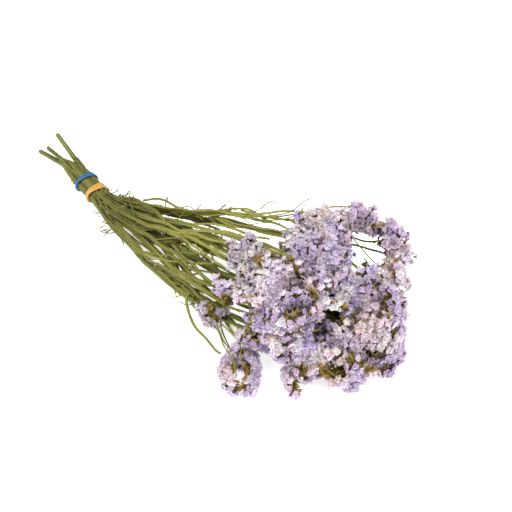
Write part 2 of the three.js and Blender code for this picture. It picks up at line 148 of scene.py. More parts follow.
# Each stem: its place in the tied rows (across, up), its cut end, the points that it
# passes after the tie, and its sprays.
STEMS = [
    stem_with(
        (-1, -1), (-34, -3, 16), [(92, -30, 16), (150, -45, 18), (240, -56, 20), (318, -54, 26)],
        spray((361, -96, 15), 0.4, (-48, -5), 0, 2, 60, curl=LANTERN, nest=True),
        spray((336, -68, 32), 0.55, (-100, 20), 30, 1, 28, between=False),
        spray((390, -57, 51), 0.6, (-60, 5), 20, 2, 36),
        spray((414, -64, 26), 0.85, (-138, 30), 0, 2, 32),
        spray((480, -28, 30), 1, (-50, -10), 180, 1, 44, nest=True),
    ),
    stem_with(
        (-1.5, 0), (-33, -7, 23), [(110, -25, 30), (205, -47, 40), (300, -56, 52)],
        spray((296, -73, 28), 0.5, (-100, -5), 150, 1, 24, "greyish", between=False),
        spray((306, -46, 72), 0.7, (-95, 30), 20, 2, 34, between=False),
        spray((396, -74, 92), 0.65, (-70, 25), 50, 3, 38),
        spray((430, -50, 54), 1, (-60, 10), 10, 2, 38, "pinkish"),
    ),
    stem_with(
        (-1, 1), (-38, 0, 32), [(124, -12, 46), (205, -12, 68), (300, -18, 84)],
        spray((298, -16, 99), 0.4, (-90, 50), 60, 3, 34, "greyish"),
        spray((346, -20, 108), 0.6, (-95, 35), 40, 2, 40, "pinkish"),
        spray((376, -56, 114), 0.85, (-60, 50), 15, 2, 42),
        spray((408, -20, 107), 1, (-70, 35), 0, 2, 38, "pinkish"),
        spray((420, -56, 86), 0.75, (-45, 25), 60, 2, 38),
    ),
    stem_with(
        (0, 1), (-32, 7, 29), [(130, 4, 46), (235, 16, 74), (330, 22, 92)],
        spray((306, 51, 96), 0.35, (110, 50), 220, 1, 24, "greyish", between=False),
        spray((334, 35, 108), 0.55, (-85, 60), 50, 2, 38),
        spray((390, 16, 128), 0.75, (-45, 60), 20, 3, 38, "bluish"),
        spray((424, 26, 106), 1, (-25, 35), 30, 2, 40, "bluish"),
    ),
    stem_with(
        (1, 1), (-99, 28, 45), [(80, 8, 40), (142, 20, 56), (235, 55, 82), (300, 76, 96)],
        spray((356, 68, 130), 0.65, (-60, 65), 45, 3, 42),
        spray((369, 112, 107), 0.75, (-58, -5), -10, 2, 36),
        spray((330, 92, 106), 0.55, (110, 45), 30, 1, 20),
        spray((400, 136, 92), 0.95, (0, 50), -15, 2, 30),
    ),
    stem_with(
        (1.5, 0), (-33, 18, 24), [(150, 36, 38), (245, 68, 54), (325, 88, 66)],
        spray((417, 127, 75), 0.55, (-25, 35), 84, 2, 40),
        spray((443, 89, 66), 1, (-15, 25), 60, 2, 40),
        spray((318, 110, 61), 0.25, (125, 10), 20, 2, 34),
    ),
    stem_with(
        (-0.5, 0), (-31, 2, 22), [(160, -12, 36), (260, -18, 50), (345, -16, 60)],
        spray((390, -2, 76), 0.5, (-60, 40), 20, 2, 36, nest=True),
        spray((452, -17, 67), 0.95, (-50, 15), 40, 2, 38, "pinkish"),
        spray((440, 30, 90), 0.8, (-15, 40), 60, 2, 38),
        spray((470, 10, 78), 0.97, (-35, 40), 20, 2, 34, "pinkish"),
    ),
    stem_with(
        (0, -1), (-36, 6, 12), [(160, -4, 20), (260, -6, 26), (350, -2, 30)],
        spray((410, -6, 22), 0.6, (-50, 0), 5, 2, 38),
        spray((475, 18, 18), 0.7, (-45, 0), 10, 2, 34),
        spray((488, 31, 40), 0.95, (-5, 10), 70, 2, 36),
        spray((433, 38, 24), 0.75, (30, 0), 20, 2, 38, nest=True),
    ),
    stem_with(
        (1, -1), (-131, 17, 3.4), [(150, 26, 20), (245, 48, 26), (320, 62, 30)],
        spray((346, 90, 22), 0.45, (100, 5), 10, 2, 36),
        spray((402, 108, 33), 0.65, (60, 0), 40, 2, 38),
        spray((450, 80, 19), 1, (20, 5), 10, 2, 40),
    ),
    stem_with(
        (0.5, 0), (-110, 17, 22), [(160, 14, 38), (260, 34, 52), (345, 44, 62)],
        spray((404, 64, 64), 0.5, (80, 50), 20, 2, 34),
        spray((433, 17, 73), 0.7, (-25, 20), 70, 2, 28),
        spray((468, 60, 62), 1, (10, 15), 90, 2, 42),
    ),
]

# Shoots without flowers of their own: the width of each one at its start and its end, and
# the points that it passes.
SHOOTS = [
    (4.6, 3.4, (239, -57, 30), (252, -72, 23), (276, -84, 17), (301, -91, 13), (326, -92, 12)),
    (3, 1.6, (72, -14, 24), (86, -26, 18), (92, -34, 14), (104, -40, 12)),
    (
        11, 5, (65, -23, 32), (124, -20, 42), (167, -13, 56),
        (206, 0, 72), (234, 6, 78), (262, -6, 80),
    ),
    (
        14, 7, (70, -18, 26), (134, -22, 30), (162, -22, 32),
        (202, -40, 26), (238, -45, 20), (290, -40, 22),
    ),
    (15, 8, (44, -14, 20), (120, -38, 17), (172, -46, 16), (231, -50, 17), (300, -46, 20)),
    (6, 3, (76, 0, 36), (149, 8, 52), (227, 25, 74), (290, 36, 88)),
    (5, 2.4, (76, 6, 38), (152, 30, 50), (224, 66, 74), (262, 68, 78), (310, 80, 84)),
    (4, 2.5, (219, 62, 74), (277, 73, 88), (296, 90, 100), (322, 98, 112)),
    (8, 4, (90, -9, 30), (169, -12, 32), (221, -10, 34), (300, 4, 36)),
    (8, 4, (90, -3, 34), (181, 4, 40), (240, 6, 46), (310, 10, 50)),
    (6, 3, (120, 0, 30), (190, -2, 28), (240, -12, 26), (310, -14, 26)),
    (6, 3, (110, -6, 36), (170, -4, 38), (220, -6, 36), (300, -20, 34)),
    (7, 4, (80, 10, 26), (160, 20, 28), (240, 26, 34), (320, 36, 40)),
    (6, 3, (80, 14, 32), (160, 40, 44), (240, 60, 60), (320, 80, 70)),
    (7, 3, (100, -22, 36), (160, -32, 44), (220, -36, 52), (290, -46, 56)),
    (8, 4, (60, -8, 24), (130, -16, 24), (200, -24, 22), (280, -36, 22)),
    (4.5, 2.2, (120, 14, 46), (180, 34, 58), (240, 44, 76), (300, 56, 90)),
    (3, 1.6, (274, -43, 30), (296, -58, 24), (322, -76, 16), (352, -90, 12)),
    (5, 3, (150, -30, 42), (186, -18, 58), (226, -22, 66), (280, -30, 78)),
    (6, 3, (140, -36, 18), (180, -30, 24), (230, -22, 30), (290, -26, 34)),
    (1.6, 2.2, (-56, 15, 34), (-48, 20, 39), (-36, 17, 37), (-27, 14, 33)),
    (2.2, 1.4, (318, 92, 80), (356, 106, 92), (392, 104, 76), (412, 110, 62)),
    (9, 3, (46, -10, 30), (96, -34, 26), (140, -44, 30), (196, -40, 40), (250, -20, 60)),
    (8, 3, (52, -16, 24), (88, -30, 18), (128, -32, 22), (170, -8, 40), (214, 18, 64)),
    (8, 3, (60, 2, 38), (104, 6, 50), (150, -4, 56), (196, -18, 62), (240, -24, 74)),
    (7, 3, (56, -4, 20), (110, -10, 20), (168, 0, 28), (214, 18, 44), (270, 40, 66)),
    (4.5, 2, (88, 14, 44), (120, 24, 54), (168, 32, 60), (214, 48, 70), (262, 54, 90)),
    (4, 2, (130, -44, 20), (168, -40, 34), (204, -26, 52), (244, -10, 70)),
    (4, 2, (150, 22, 40), (190, 10, 50), (226, -6, 58), (262, -24, 66)),
    (4, 2, (166, -48, 20), (206, -40, 30), (244, -22, 42), (284, -8, 50)),
    (
        7, 3, (110, -36, 26), (170, -48, 30), (219, -52, 34),
        (265, -54, 32), (312, -51, 32), (364, -49, 26),
    ),
    (6, 2.5, (150, -26, 40), (216, -39, 44), (268, -39, 46), (314, -36, 48), (358, -25, 44)),
    (5, 2.5, (170, -44, 24), (235, -50, 26), (275, -48, 24), (322, -54, 20), (355, -61, 14)),
    (5, 2.5, (180, -24, 50), (243, -39, 50), (290, -39, 56), (325, -35, 60), (363, -18, 60)),
    (
        9, 3, (96, -14, 46), (178, -8, 66), (229, 3, 84),
        (278, 5, 104), (319, 8, 112), (351, 10, 112),
    ),
    (
        7, 2.5, (110, -20, 44), (169, -17, 60), (220, -6, 78),
        (277, -6, 98), (314, -5, 108), (349, -2, 110),
    ),
    (5, 2, (150, -18, 54), (203, -15, 66), (254, -11, 80), (302, -16, 92), (343, -23, 98)),
    (
        3, 1.2, (110, 10, 50), (179, 28, 70), (235, 52, 84),
        (286, 69, 104), (301, 79, 120), (311, 90, 132),
    ),
    (3, 1.2, (120, 14, 52), (211, 40, 74), (261, 55, 88), (290, 74, 100), (302, 90, 118)),
    (3, 2, (180, -50, 24), (259, -65, 26), (293, -68, 24), (327, -83, 26), (362, -104, 30)),
    (2.4, 1.4, (190, -52, 22), (273, -63, 24), (314, -66, 24), (347, -81, 26), (368, -98, 24)),
    (4, 2, (200, -48, 22), (281, -54, 26), (327, -59, 28), (360, -63, 30), (376, -64, 30)),
    (2.6, 1.6, (220, -58, 24), (287, -72, 30), (324, -86, 34), (359, -107, 40), (380, -122, 41)),
]

# Comb tips that have dropped their calyxes, so that only scaly twigs are left, and the
# stem that their scales are counted with.
BARE_TIPS = [
    (348, 28, 58), (356, 30, 50), (400, 24, 45), (404, 17, 47), (407, 26, 46), (397, 30, 43),
    (351, -7, 110), (306, -7, 104), (340, -54, 76), (444, -46, 48), (364, 109, 122),
    (408, -20, 116), (387, -56, 50), (415, -53, 88), (372, -69, 44), (350, -64, 44), (356, 4, 106),
    (324, -16, 106), (302, -53, 58),
]
BARE_TIPS_STEM = 2

# How many leaf bases pack the tie between the stems, and how many dry bits lie along it.
PACKING = 18
DRY_BITS = 46

# Openings between the sprays: a point on each one's middle, its radius, and its floor.
# All lead the same way. The shadow place is one of the same kind, without an opening,
# where the calyxes are painted darker as painted shadow.
OPENINGS = [
    ((372, 122, 60), 23, -20),
    ((409, 12, 60), 13, 52),
    ((412, -16, 60), 12, 60),
    ((369, -104, 22), 4, -20),
    ((384, -125, 20), 6.5, -20),
    ((406, 171, 88), 12, 0),
    ((426, 154, 60), 5, -20),
    ((448, -60, 20), 8, -20),
    ((498, -16, 22), 10, -20),
    ((258, -13, 90), 9, 60),
    ((271, -52, 62), 8, 30),
    ((292, 35, 90), 11, 60),
    ((311, 25, 90), 11, 60),
    ((322, -46, 60), 10, 30),
    ((322, -56, 40), 10, 26),
]
OPENINGS_LEAN = towards(-48, 45)
SHADOW_PLACE = {"middle": (411, -18, 60), "inner": 9, "outer": 24}

# Dry curled tendrils: where each one starts, the way that it sets off, and its length.
TENDRILS = [
    ((70, -22, 18), (0.5, -0.8, 0.1), 34),
    ((78, -24, 18), (0.6, -0.7, -0.1), 40),
    ((246, -56, 28), (0.7, -0.7, 0.2), 44),
    ((262, -62, 26), (0.3, -0.9, 0.3), 40),
    ((252, -58, 24), (0.9, -0.2, 0.4), 38),
    ((212, 56, 74), (0.6, 0.7, 0.5), 34),
    ((243, 72, 84), (0.2, 0.8, 0.6), 30),
    ((86, -27, 16), (0.2, -0.9, 0.2), 30),
    ((226, -52, 20), (0.4, -0.9, -0.1), 30),
    ((238, -55, 20), (0.8, -0.5, 0.2), 34),
    ((244, -58, 22), (0.3, -0.8, 0.4), 26),
    ((120, 22, 46), (-0.2, 0.6, 0.7), 26),
    ((138, 26, 50), (0.6, 0.6, 0.5), 30),
    ((165, 34, 58), (0.2, 0.8, 0.6), 24),
    ((190, 44, 66), (0.5, 0.7, 0.4), 34),
    ((205, 50, 70), (-0.3, 0.8, 0.5), 26),
    ((150, -10, 56), (0.8, -0.4, 0.5), 34),
    ((175, -8, 60), (0.5, -0.8, 0.2), 38),
    ((196, -12, 56), (0.6, -0.7, 0.0), 36),
    ((210, -6, 60), (0.8, -0.6, 0.1), 30),
    ((70, 4, 40), (0.4, 0.7, 0.6), 22),
    ((48, -6, 34), (0.3, -0.2, 0.9), 18),
    ((60, 6, 36), (0.1, 0.5, 0.8), 22),
    ((100, -14, 44), (0.7, -0.3, 0.6), 26),
]

BANDS = {
    "band_blue": {"x": -15, "width": 4, "thickness": 1.5, "swing": 2.9},
    "band_orange": {"x": 13, "width": 6, "thickness": 1.2, "swing": 4.2},
}
TIE = {"half_width": 14, "half_height": 9.9, "power": 2.8}
CLEARANCE = 0.35
BAND_CROSSING = 1.7

CALYX_HEIGHT = 12.6
CALYX_REACH = 6.4
CALYX_FORMS = 10
CALYX_JITTER = 0.16
BRACT_LENGTH = 8.5
BRACT_REACH = 2.2
BRACT_FORMS = 4
BRACT_ROWS = (180, 115, 245, 75, 285, 150, 210, 165, 195)

# How many calyxes stand at a lantern's heart, at a dome's root and in a tuft, and how many
# scales stand round a tuft and along a twig.
HEART_CALYXES = 34
ROOT_CALYXES = 7
TUFT_CALYXES = 9
TUFT_BRACTS = 8
TWIG_BRACTS = 10

# How wide the borders between neighbouring sprays are, where fewer calyxes stand and the
# rest are painted darker as painted shade, and how much paler the calyxes are painted on
# the side towards the light, as painted light.
CREVICE = 10
PAINTED_LIGHT_SIDE = 0.24

# How far a shoot sways off its curve.
SWAY = 2.6

# The gaps kept to the floor and to the other sides of the box by each kind of growth, and
# how sharply a form bends and shrinks to keep them.
FLOOR_GAP = 0.1
SIDE_GAP = 0.8
FORM_GAP = 1.8
LEAF_GAP = 2
TWIG_GAP = 1.5
DRY_GAP = 1
BEND = 0.22
SHRINK = 0.97

STEM_STEPS = 130
SHOOT_STEPS = 40
LEAF_BASE_STEPS = 60
TENDRIL_STEPS = 26
SPINE_STEPS = 10
BAND_STEPS = 150

HEARTS = [spec["heart"] for stem in STEMS for spec in stem["sprays"]]

rng = random.Random(SEED)


def turned(place):
    """A place near the waist, turned with it."""
    a = radians(WAIST_TURN)
    x, y, z = place
    return Vector((x * cos(a) - y * sin(a), x * sin(a) + y * cos(a), z))


tie_low, tie_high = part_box("band_blue")
ORIGIN = (tie_low + tie_high) / 2 - turned((BANDS["band_blue"]["x"], 0, WAIST_HEIGHT)) * MM
BOX = [(Vector(corner) - ORIGIN) / MM for corner in cad_box]


def placed(point):
    """A point's place on the object, in metres."""
    return Vector(point) * MM + ORIGIN


def within(point, margin):
    """Whether a point lies inside the bunch's box."""
    low, high = BOX
    return all(low[k] + margin <= point[k] <= high[k] - margin for k in range(3))


def across(heading):
    """A random way square to a heading."""
    normal = heading.orthogonal().normalized()
    return swung(normal, heading.cross(normal), rng.uniform(0, 2 * pi))


# ------ curves


class Spline:
    """A centripetal Catmull-Rom curve through its points."""

    def __init__(self, points):
        p = [Vector(q) for q in points]
        self.points = [2 * p[0] - p[1], *p, 2 * p[-1] - p[-2]]
        self.segments = len(p) - 1

    def at(self, t):
        place = t * self.segments
        i = min(self.segments - 1, max(0, int(place)))
        w = place - i
        p0, p1, p2, p3 = self.points[i : i + 4]
        d0, d1, d2 = ((b - a).length ** 0.5 for a, b in ((p0, p1), (p1, p2), (p2, p3)))
        m1 = ((p1 - p0) / d0 - (p2 - p0) / (d0 + d1) + (p2 - p1) / d1) * d1
        m2 = ((p2 - p1) / d1 - (p3 - p1) / (d1 + d2) + (p3 - p2) / d2) * d1
        c2 = -3 * p1 + 3 * p2 - 2 * m1 - m2
        c3 = 2 * p1 - 2 * p2 + m1 + m2
        return p1 + m1 * w + c2 * w * w + c3 * w * w * w

    def heading(self, t):
        low, high = max(0, t - 1e-4), min(1, t + 1e-4)
        return (self.at(high) - self.at(low)).normalized()

    def span(self):
        return (self.at(1) - self.at(0)).length


class Bezier(Spline):
    def __init__(self, *points):
        self.points = points

    def at(self, t):
        a, b, c, d = self.points
        s = 1 - t
        return a * s**3 + b * (3 * s * s * t) + c * (3 * s * t * t) + d * t**3


def frames_along(curve, steps):
    """Places along a curve, each with its heading, a normal and a side."""
    normal = UP
    frames = []
    for i in range(steps + 1):
        heading = curve.heading(i / steps)
        normal = beside(normal, heading).normalized()
        frames.append((curve.at(i / steps), heading, normal, heading.cross(normal)))
    return frames


def curled_frames(start, heading, normal, length, bend, lean, steps):
    """Frames of a curl: it bends at each step by what bend says, and leans aside evenly."""
    frames = []
    at = Vector(start)
    for i in range(steps + 1):
        normal = beside(normal, heading).normalized()
        side = heading.cross(normal)
        frames.append((at, heading, normal, side))
        at = at + heading * (length / steps)
        heading = (heading + normal * bend(i / steps) + side * lean).normalized()
    return frames


def arc_frames(start, heading, normal, length, bend, twist, steps):
    """Frames of a leaf that curves away from its start."""
    ways = heading.normalized(), normal.normalized()
    return curled_frames(start, *ways, length, lambda t: bend / steps, twist / steps, steps)


def sprout(curve, t, out, length, bend, twist, steps):
    """Frames of a leaf or twig that leaves a curve, its shape drawn from these ranges."""
    heading = curve.heading(t)
    normal = across(heading)
    way = heading + normal * rng.uniform(*out)
    drawn = [rng.uniform(*ends) for ends in (length, bend, twist)]
    return arc_frames(curve.at(t), way, normal, *drawn, steps)


def inside(frames, margin):
    """Whether a whole run lies inside the bunch's box."""
    return all(within(frame[0], margin) for frame in frames)


def distances(frames):
    """How far along a run each of its places is."""
    steps = ((b[0] - a[0]).length for a, b in zip(frames, frames[1:]))
    return accumulate(steps, initial=0.0)


# ------ where things grow


def stem_curve(stem):
    across_row = stem["row"][0] * STEM_PITCH
    up = WAIST_HEIGHT + stem["row"][1] * ROW_PITCH
    waist = [turned((x, across_row, up)) for x in (-WAIST_REACH, 0, WAIST_REACH)]
    return Spline([stem["cut"], *waist, *stem["path"]])


def lay_out(spec):
    """A spray's root, the way that it faces, and the ways that its combs lean out."""
    azimuth, elevation = spec["face"]
    facing = towards(azimuth, elevation)
    level = towards(azimuth + 90, 0)
    rise = facing.cross(level)
    angles = [spec["turn"] + 360 * i / spec["combs"] for i in range(spec["combs"])]
    leaning = [swung(level, rise, radians(angle)) for angle in angles]
    root = spec["heart"] - facing * (spec["curl"]["depth"] * spec.get("reach", spec["length"]))
    return root, facing, leaning


def branch_curve(stem, spec):
    """The curve of a spray's branch, from where it leaves the stem to the spray's root."""
    trunk = stem_curve(stem)
    path = len(stem["path"])
    station = (TIED + spec["leaves"] * path) / (TIED + path)
    start = trunk.at(station)
    root, facing, _ = lay_out(spec)
    span = (root - start).length
    leaving = (root - start).normalized() + trunk.heading(station)
    return Bezier(start, start + leaving * (0.16 * span), root - facing * (0.27 * span), root)


def combs_of(spec):
    """A spray's combs, with short ones between the long ones that round it out."""
    _, facing, leanings = lay_out(spec)
    draws = random.Random(round(spec["heart"].x * 7 + spec["heart"].y))
    combs = [{**spec, "leaning": leaning, "main": True} for leaning in leanings]
    dome = spec["curl"] is DOME
    if dome and spec["between"]:
        for degrees in BETWEEN[len(leanings)]:
            angle = radians(degrees + draws.uniform(-14, 14))
            leaning = swung(leanings[0], facing.cross(leanings[0]), angle)
            length = spec["length"] * draws.uniform(0.5, 0.78)
            short = {"leaning": leaning, "length": length, "reach": spec["length"]}
            combs.append({**spec, **short, "main": False})
    for comb in combs:
        comb["droop"] = draws.uniform(0, 45) if dome else 0
    return combs


def comb_frame(comb, t, lift=0.0, droop=False):
    """A place on a comb's arc: the point, its heading, the outward normal and the side."""
    root, facing, _ = lay_out(comb)
    leaning = comb["leaning"]
    leaves = radians(comb["curl"]["leaves"])
    turns = radians(comb["curl"]["turns"])
    radius = comb["length"] / turns
    angle = leaves + turns * t
    normal = (facing * sin(angle) - leaning * cos(angle)) * copysign(1, turns)
    heading = facing * sin(pi / 2 - angle) + leaning * sin(angle)
    at = (
        root
        + facing * (radius * (sin(angle) - sin(leaves)))
        + leaning * (radius * (cos(leaves) - cos(angle)))
        + normal * lift
    )
    side = heading.cross(normal)
    if droop:
        # The calyxes hang a little to the low side, and the scales show on the high side.
        turn = radians(comb["droop"]) * -max(-1, min(1, side.z * 1.6))
        normal, side = swung(normal, side, turn), swung(side, -normal, turn)
    return at, heading, normal, side


def tuft_place(stem, spec):
    """Where a small tuft sits on the spray's branch, behind the combs."""
    curve = branch_curve(stem, spec)
    t = 1 - min(0.6, 17 / curve.span())
    return curve.at(t), curve.heading(t)


def nest_twigs(spec):
    """Short scaly twigs that fill the hollow side of a spray's combs."""
    draws = random.Random(round(spec["heart"].x))
    twigs = []
    for comb in combs_of(spec) if spec["nest"] else ():
        curl = comb["curl"]
        radius = comb["length"] / radians(abs(curl["turns"]))
        for k in range(curl["twigs"]):
            at, heading, normal, side = comb_frame(comb, 0.06 + 0.1 * k)
            way = heading * draws.uniform(-0.2, 0.6) - normal + side * draws.uniform(-0.5, 0.5)
            length = radius * draws.uniform(0.35, 0.8) * curl["twig"]
            if (at + way.normalized() * length).z > 4:
                twigs.append((at, way.normalized(), normal, length))
    return twigs


def bare_tip_twigs():
    """The short twigs of the bare tips."""
    draws = random.Random(SEED)
    twigs = []
    for tip in BARE_TIPS:
        for _ in range(6):
            way = Vector((draws.uniform(-1, 0.4), draws.uniform(-0.8, 0.6), draws.uniform(0.3, 1)))
            way.normalize()
            twigs.append((Vector(tip) - way * 9, way, way.orthogonal(), draws.uniform(15, 23)))
    return twigs


# ------ meshes


class Growth:
    """Points in millimetres, faces, and the values that colour each point."""

    def __init__(self, *values):
        self.points = []
        self.faces = []
        self.values = {name: [] for name in values}

    def point(self, place, **values):
        self.points.append(Vector(place))
        for name, column in self.values.items():
            column.append(values.get(name, 0.0))
        return len(self.points) - 1

    def wall(self, low, high):
        """Joins two rings of points."""
        for k, corner in enumerate(low):
            j = (k + 1) % len(low)
            self.faces.append((corner, low[j], high[j], high[k]))

    def cap(self, centre, ring):
        """Closes a ring with a point in its middle."""
        for k, corner in enumerate(ring):
            self.faces.append((centre, corner, ring[(k + 1) % len(ring)]))

    def sweep(self, rings):
        """Joins rings of points, and closes both ends."""
        for low, high in zip(rings, rings[1:]):
            self.wall(low, high)
        for ring in (rings[0][::-1], rings[-1]):
            middle = sum((self.points[i] for i in ring), Vector()) / len(ring)
            values = {n: sum(c[i] for i in ring) / len(ring) for n, c in self.values.items()}
            self.cap(self.point(middle, **values), ring)

    def mesh(self, name, scale=None, rounded=True):
        """A mesh of it, in place on the object, or as a form in its own right, to a scale."""
        mesh = bpy.data.meshes.new(name)
        if scale is None:
            floor_at = BOX[0].z + FLOOR_GAP
            where = [placed((p.x, p.y, max(p.z, floor_at))) for p in self.points]
        else:
            where = [p * scale for p in self.points]
        mesh.from_pydata(where, [], self.faces)
        for value, column in self.values.items():
            attribute = mesh.attributes.new(value, "FLOAT", "POINT")
            attribute.data.foreach_set("value", column)
        mesh.polygons.foreach_set("use_smooth", [rounded] * len(mesh.polygons))
        mesh.update()
        return mesh


def green_growth():
    return Growth("streak", "edge", "age", "tone")


def put(name, data):
    """An object that is put into the scene."""
    thing = bpy.data.objects.new(name, data)
    bpy.context.scene.collection.objects.link(thing)
    return thing


def show(name, mesh, material, node=None):
    """Puts a finished piece into the scene, riding on the bunch."""
    if material.name not in mesh.materials:
        mesh.materials.clear()
        mesh.materials.append(material)
    piece = put(name, mesh)
    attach(piece, "root")
    if node:
        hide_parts(node)


# ------ stems


def tapering(x, behind, tied, grown, until, thin):
    """How a main stem's size goes: behind the tie, at it, full grown, and thin far out."""
    if x < -WAIST_REACH - STEM_PITCH:
        return behind
    return mix(mix(tied, grown, smooth(26, until, x)), thin, smooth(160, 320, x))


def wing_reach(x, slim):
    """How far a main stem's wings stand out from its middle."""
    return tapering(x, 4.0, 3.6, 5.8, 100, 2.4) * mix(1, slim, smooth(60, 140, x))


def core_reach(x):
    """How thick a main stem is between its wings."""
    return tapering(x, 2.4, 3.3, 2.2, 90, 1.1)


def wave(seed, x):
    """A slow wobble between -1 and 1."""
    return 0.6 * sin(x / 11 + seed) + 0.4 * sin(x / 4.7 + 2.3 * seed)


def toned_and_lit(tone, place):
    """A stem's tone there: stems are paler towards the flowers and at their cut ends, and the
    higher ones are painted paler as painted light from above.
    """
    # Painted light: the higher a stem runs, the paler it is painted.
    paler = 0.36 * smooth(30, 210, place.x) + 0.62 * smooth(44, 80, place.z)
    return 0.62 * tone + paler + 0.22 * smooth(-24, -70, place.x)


# A section's wings: the angle from its upper side, and the share of the reach.
TRIPLE = ((0.0, 0.6), (2.1, 1.0), (4.2, 0.95))
FLAT = ((0.0, 0.3), (1.57, 1.0), (4.71, 0.9))


def winged(growth, frames, reach, core, wings, wobble, tone, age=lambda i: 0.1):
    """A sweep whose section is a core with thin wings."""
    rings = []
    streaks = [rng.random() for _ in range(len(wings) * 5)]
    for i, ((at, _, normal, side), far) in enumerate(zip(frames, distances(frames))):
        ring = []
        roll = 0.35 * sin(wobble) + 0.5 * wave(wobble, far / 4)
        for w, (angle_of, share) in enumerate(wings):
            following = wings[w + 1][0] if w + 1 < len(wings) else wings[0][0] + 2 * pi
            middle = angle_of + roll
            valley = (angle_of + following) / 2 + roll
            seed = wobble + 9 * w
            tip = core(i) + (reach(i) * share - core(i)) * (0.86 + 0.14 * wave(seed, far))
            tip = max(tip, core(i) * 1.05)
            bend = 0.1 * wave(seed + 4, far)
            half = 0.34 / max(tip, 0.6)
            corners = (
                (middle - 0.45, core(i), 0.0),
                (middle + bend - half, tip, 1.0),
                (middle + bend + half, tip, 1.0),
                (middle + 0.45, core(i), 0.0),
                (valley, core(i) * 0.94, 0.0),
            )
            for k, (angle, radius, edge) in enumerate(corners):
                place = at + side * (radius * sin(angle)) + normal * (radius * cos(angle))
                streak = streaks[w * 5 + k] * 0.7 + 0.3 * (0.5 + 0.5 * wave(seed + k, far / 3))
                values = {"streak": streak, "edge": edge, "age": age(i), "tone": toned_and_lit(tone, at)}
                ring.append(growth.point(place, **values))
        rings.append(ring[::-1])
    growth.sweep(rings)


def swayed(frames, seed):
    """Frames moved a little off their curve, and not at its ends."""
    last = len(frames) - 1
    found = []
    for i, ((at, heading, normal, side), far) in enumerate(zip(frames, distances(frames))):
        hold = SWAY * smooth(0, 0.12, i / last) * smooth(0, 0.12, 1 - i / last)
        out, up = wave(seed, far / 1.7), wave(seed + 5, far / 2.3)
        found.append((at + side * (hold * out) + normal * (hold * up), heading, normal, side))
    return found


def shoot(growth, curve, steps, start, end):
    """A winged sweep of the given widths along a curve."""
    winged(
        growth,
        swayed(frames_along(curve, steps), rng.uniform(0, 20)),
        reach=lambda i: mix(start, end, i / steps) / 2,
        core=lambda i: mix(min(start, 6), end, i / steps) * 0.22 + 0.35,
        wings=FLAT,
        wobble=rng.uniform(0, 6.3),
        tone=rng.random(),
    )


def thread(growth, frames, start, end, sides, tone, age, belly=0.0):
    """A thin round sweep, thicker by its belly in its first half."""
    rings = []
    for i, (at, _, normal, side) in enumerate(frames):
        t = i / (len(frames) - 1)
        radius = (mix(start, end, t) + belly * sin(pi * t**0.6)) / 2
        ring = []
        for k in range(sides):
            angle = 2 * pi * k / sides
            place = at + side * (radius * cos(angle)) + normal * (radius * sin(angle))
            ring.append(growth.point(place, streak=0.5, age=age, tone=toned_and_lit(tone, at)))
        rings.append(ring)
    growth.sweep(rings)


# A blade's section: its corners, out and up.
SIX = ((-1, 0), (-0.45, 1), (0.45, 1), (1, 0), (0.45, -1), (-0.45, -1))
FOUR = ((-1, 0), (0, 1), (1, 0), (0, -1))


def blade(growth, frames, width, thickness, cup, age, section=SIX):
    """A thin leaf: a sweep of flat sections, pointed at its end."""
    rings = []
    values = {"streak": rng.random(), "edge": 0.4, "age": age, "tone": rng.random()}
    for i, (at, _, normal, side) in enumerate(frames):
        t = i / (len(frames) - 1)
        half = width * (0.25 + 0.75 * smooth(0, 0.35, t)) * (1 - smooth(0.45, 1.0, t) * 0.93) / 2
        thick = thickness * (1 - 0.6 * t) / 2
        ring = []
        for out, up in section:
            place = at + side * (out * half) + normal * (up * thick + cup * half * out * out)
            ring.append(growth.point(place, **values))
        rings.append(ring)
    growth.sweep(rings)


def grow_stem(number, stem):
    """One green piece: the stem, its branches and spines, and what grows at its forks."""
    growth = green_growth()
    trunk = stem_curve(stem)
    frames = frames_along(trunk, STEM_STEPS)
    aside, up = stem["row"]
    winged(
        growth,
        frames,
        reach=lambda i: wing_reach(frames[i][0].x, 0.66 if up > 0 else 1),
        core=lambda i: core_reach(frames[i][0].x),
        wings=TRIPLE,
        wobble=number * 1.7,
        tone=rng.random(),
        age=lambda i: 0.6 * smooth(2, 0, i),
    )
    for spec in stem["sprays"]:
        curve = branch_curve(stem, spec)
        shoot(growth, curve, max(10, round(curve.span() / 6)), 5.4, 3.2)
        # Narrow leaves where the branch forks off, and sometimes one further along it.
        for k in range(rng.choice((2, 3, 3))):
            t = (0.02, 0.06, rng.uniform(0.3, 0.8))[k]
            leaf = sprout(curve, t, (0.15, 0.5), (12, 34), (-0.5, 0.9), (-0.6, 0.6), 7)
            if inside(leaf, LEAF_GAP):
                blade(growth, leaf, rng.uniform(1.8, 3.4), 0.5, 0.4, rng.uniform(0.0, 0.5))
        for comb in combs_of(spec):
            spine = [comb_frame(comb, k / SPINE_STEPS) for k in range(SPINE_STEPS + 1)]
            thread(growth, spine, 2.8, 1.4, 5, 0.4, 0.3)
        for at, way, normal, length in nest_twigs(spec):
            thread(growth, arc_frames(at, way, normal, length, 0.5, 0.2, 4), 1.8, 0.8, 4, 0.3, 0.2)
    for _ in range(14 if up > 0 or aside > 1 else 7):
        t = rng.uniform(0.42, 0.9)
        twig = sprout(trunk, t, (0.3, 0.9), (16, 58), (-1.8, 1.3), (-1.2, 1.2), 12)
        if inside(twig, TWIG_GAP):
            thread(growth, twig, 1.5, 0.8, 4, rng.random(), rng.uniform(0, 0.4))
    return growth


def tie_reach(angle):
    """How far the tie's inner side is from its middle."""
    power = TIE["power"]
    wide = abs(cos(angle) / TIE["half_width"]) ** power
    high = abs(sin(angle) / TIE["half_height"]) ** power
    return (wide + high) ** (-1 / power)


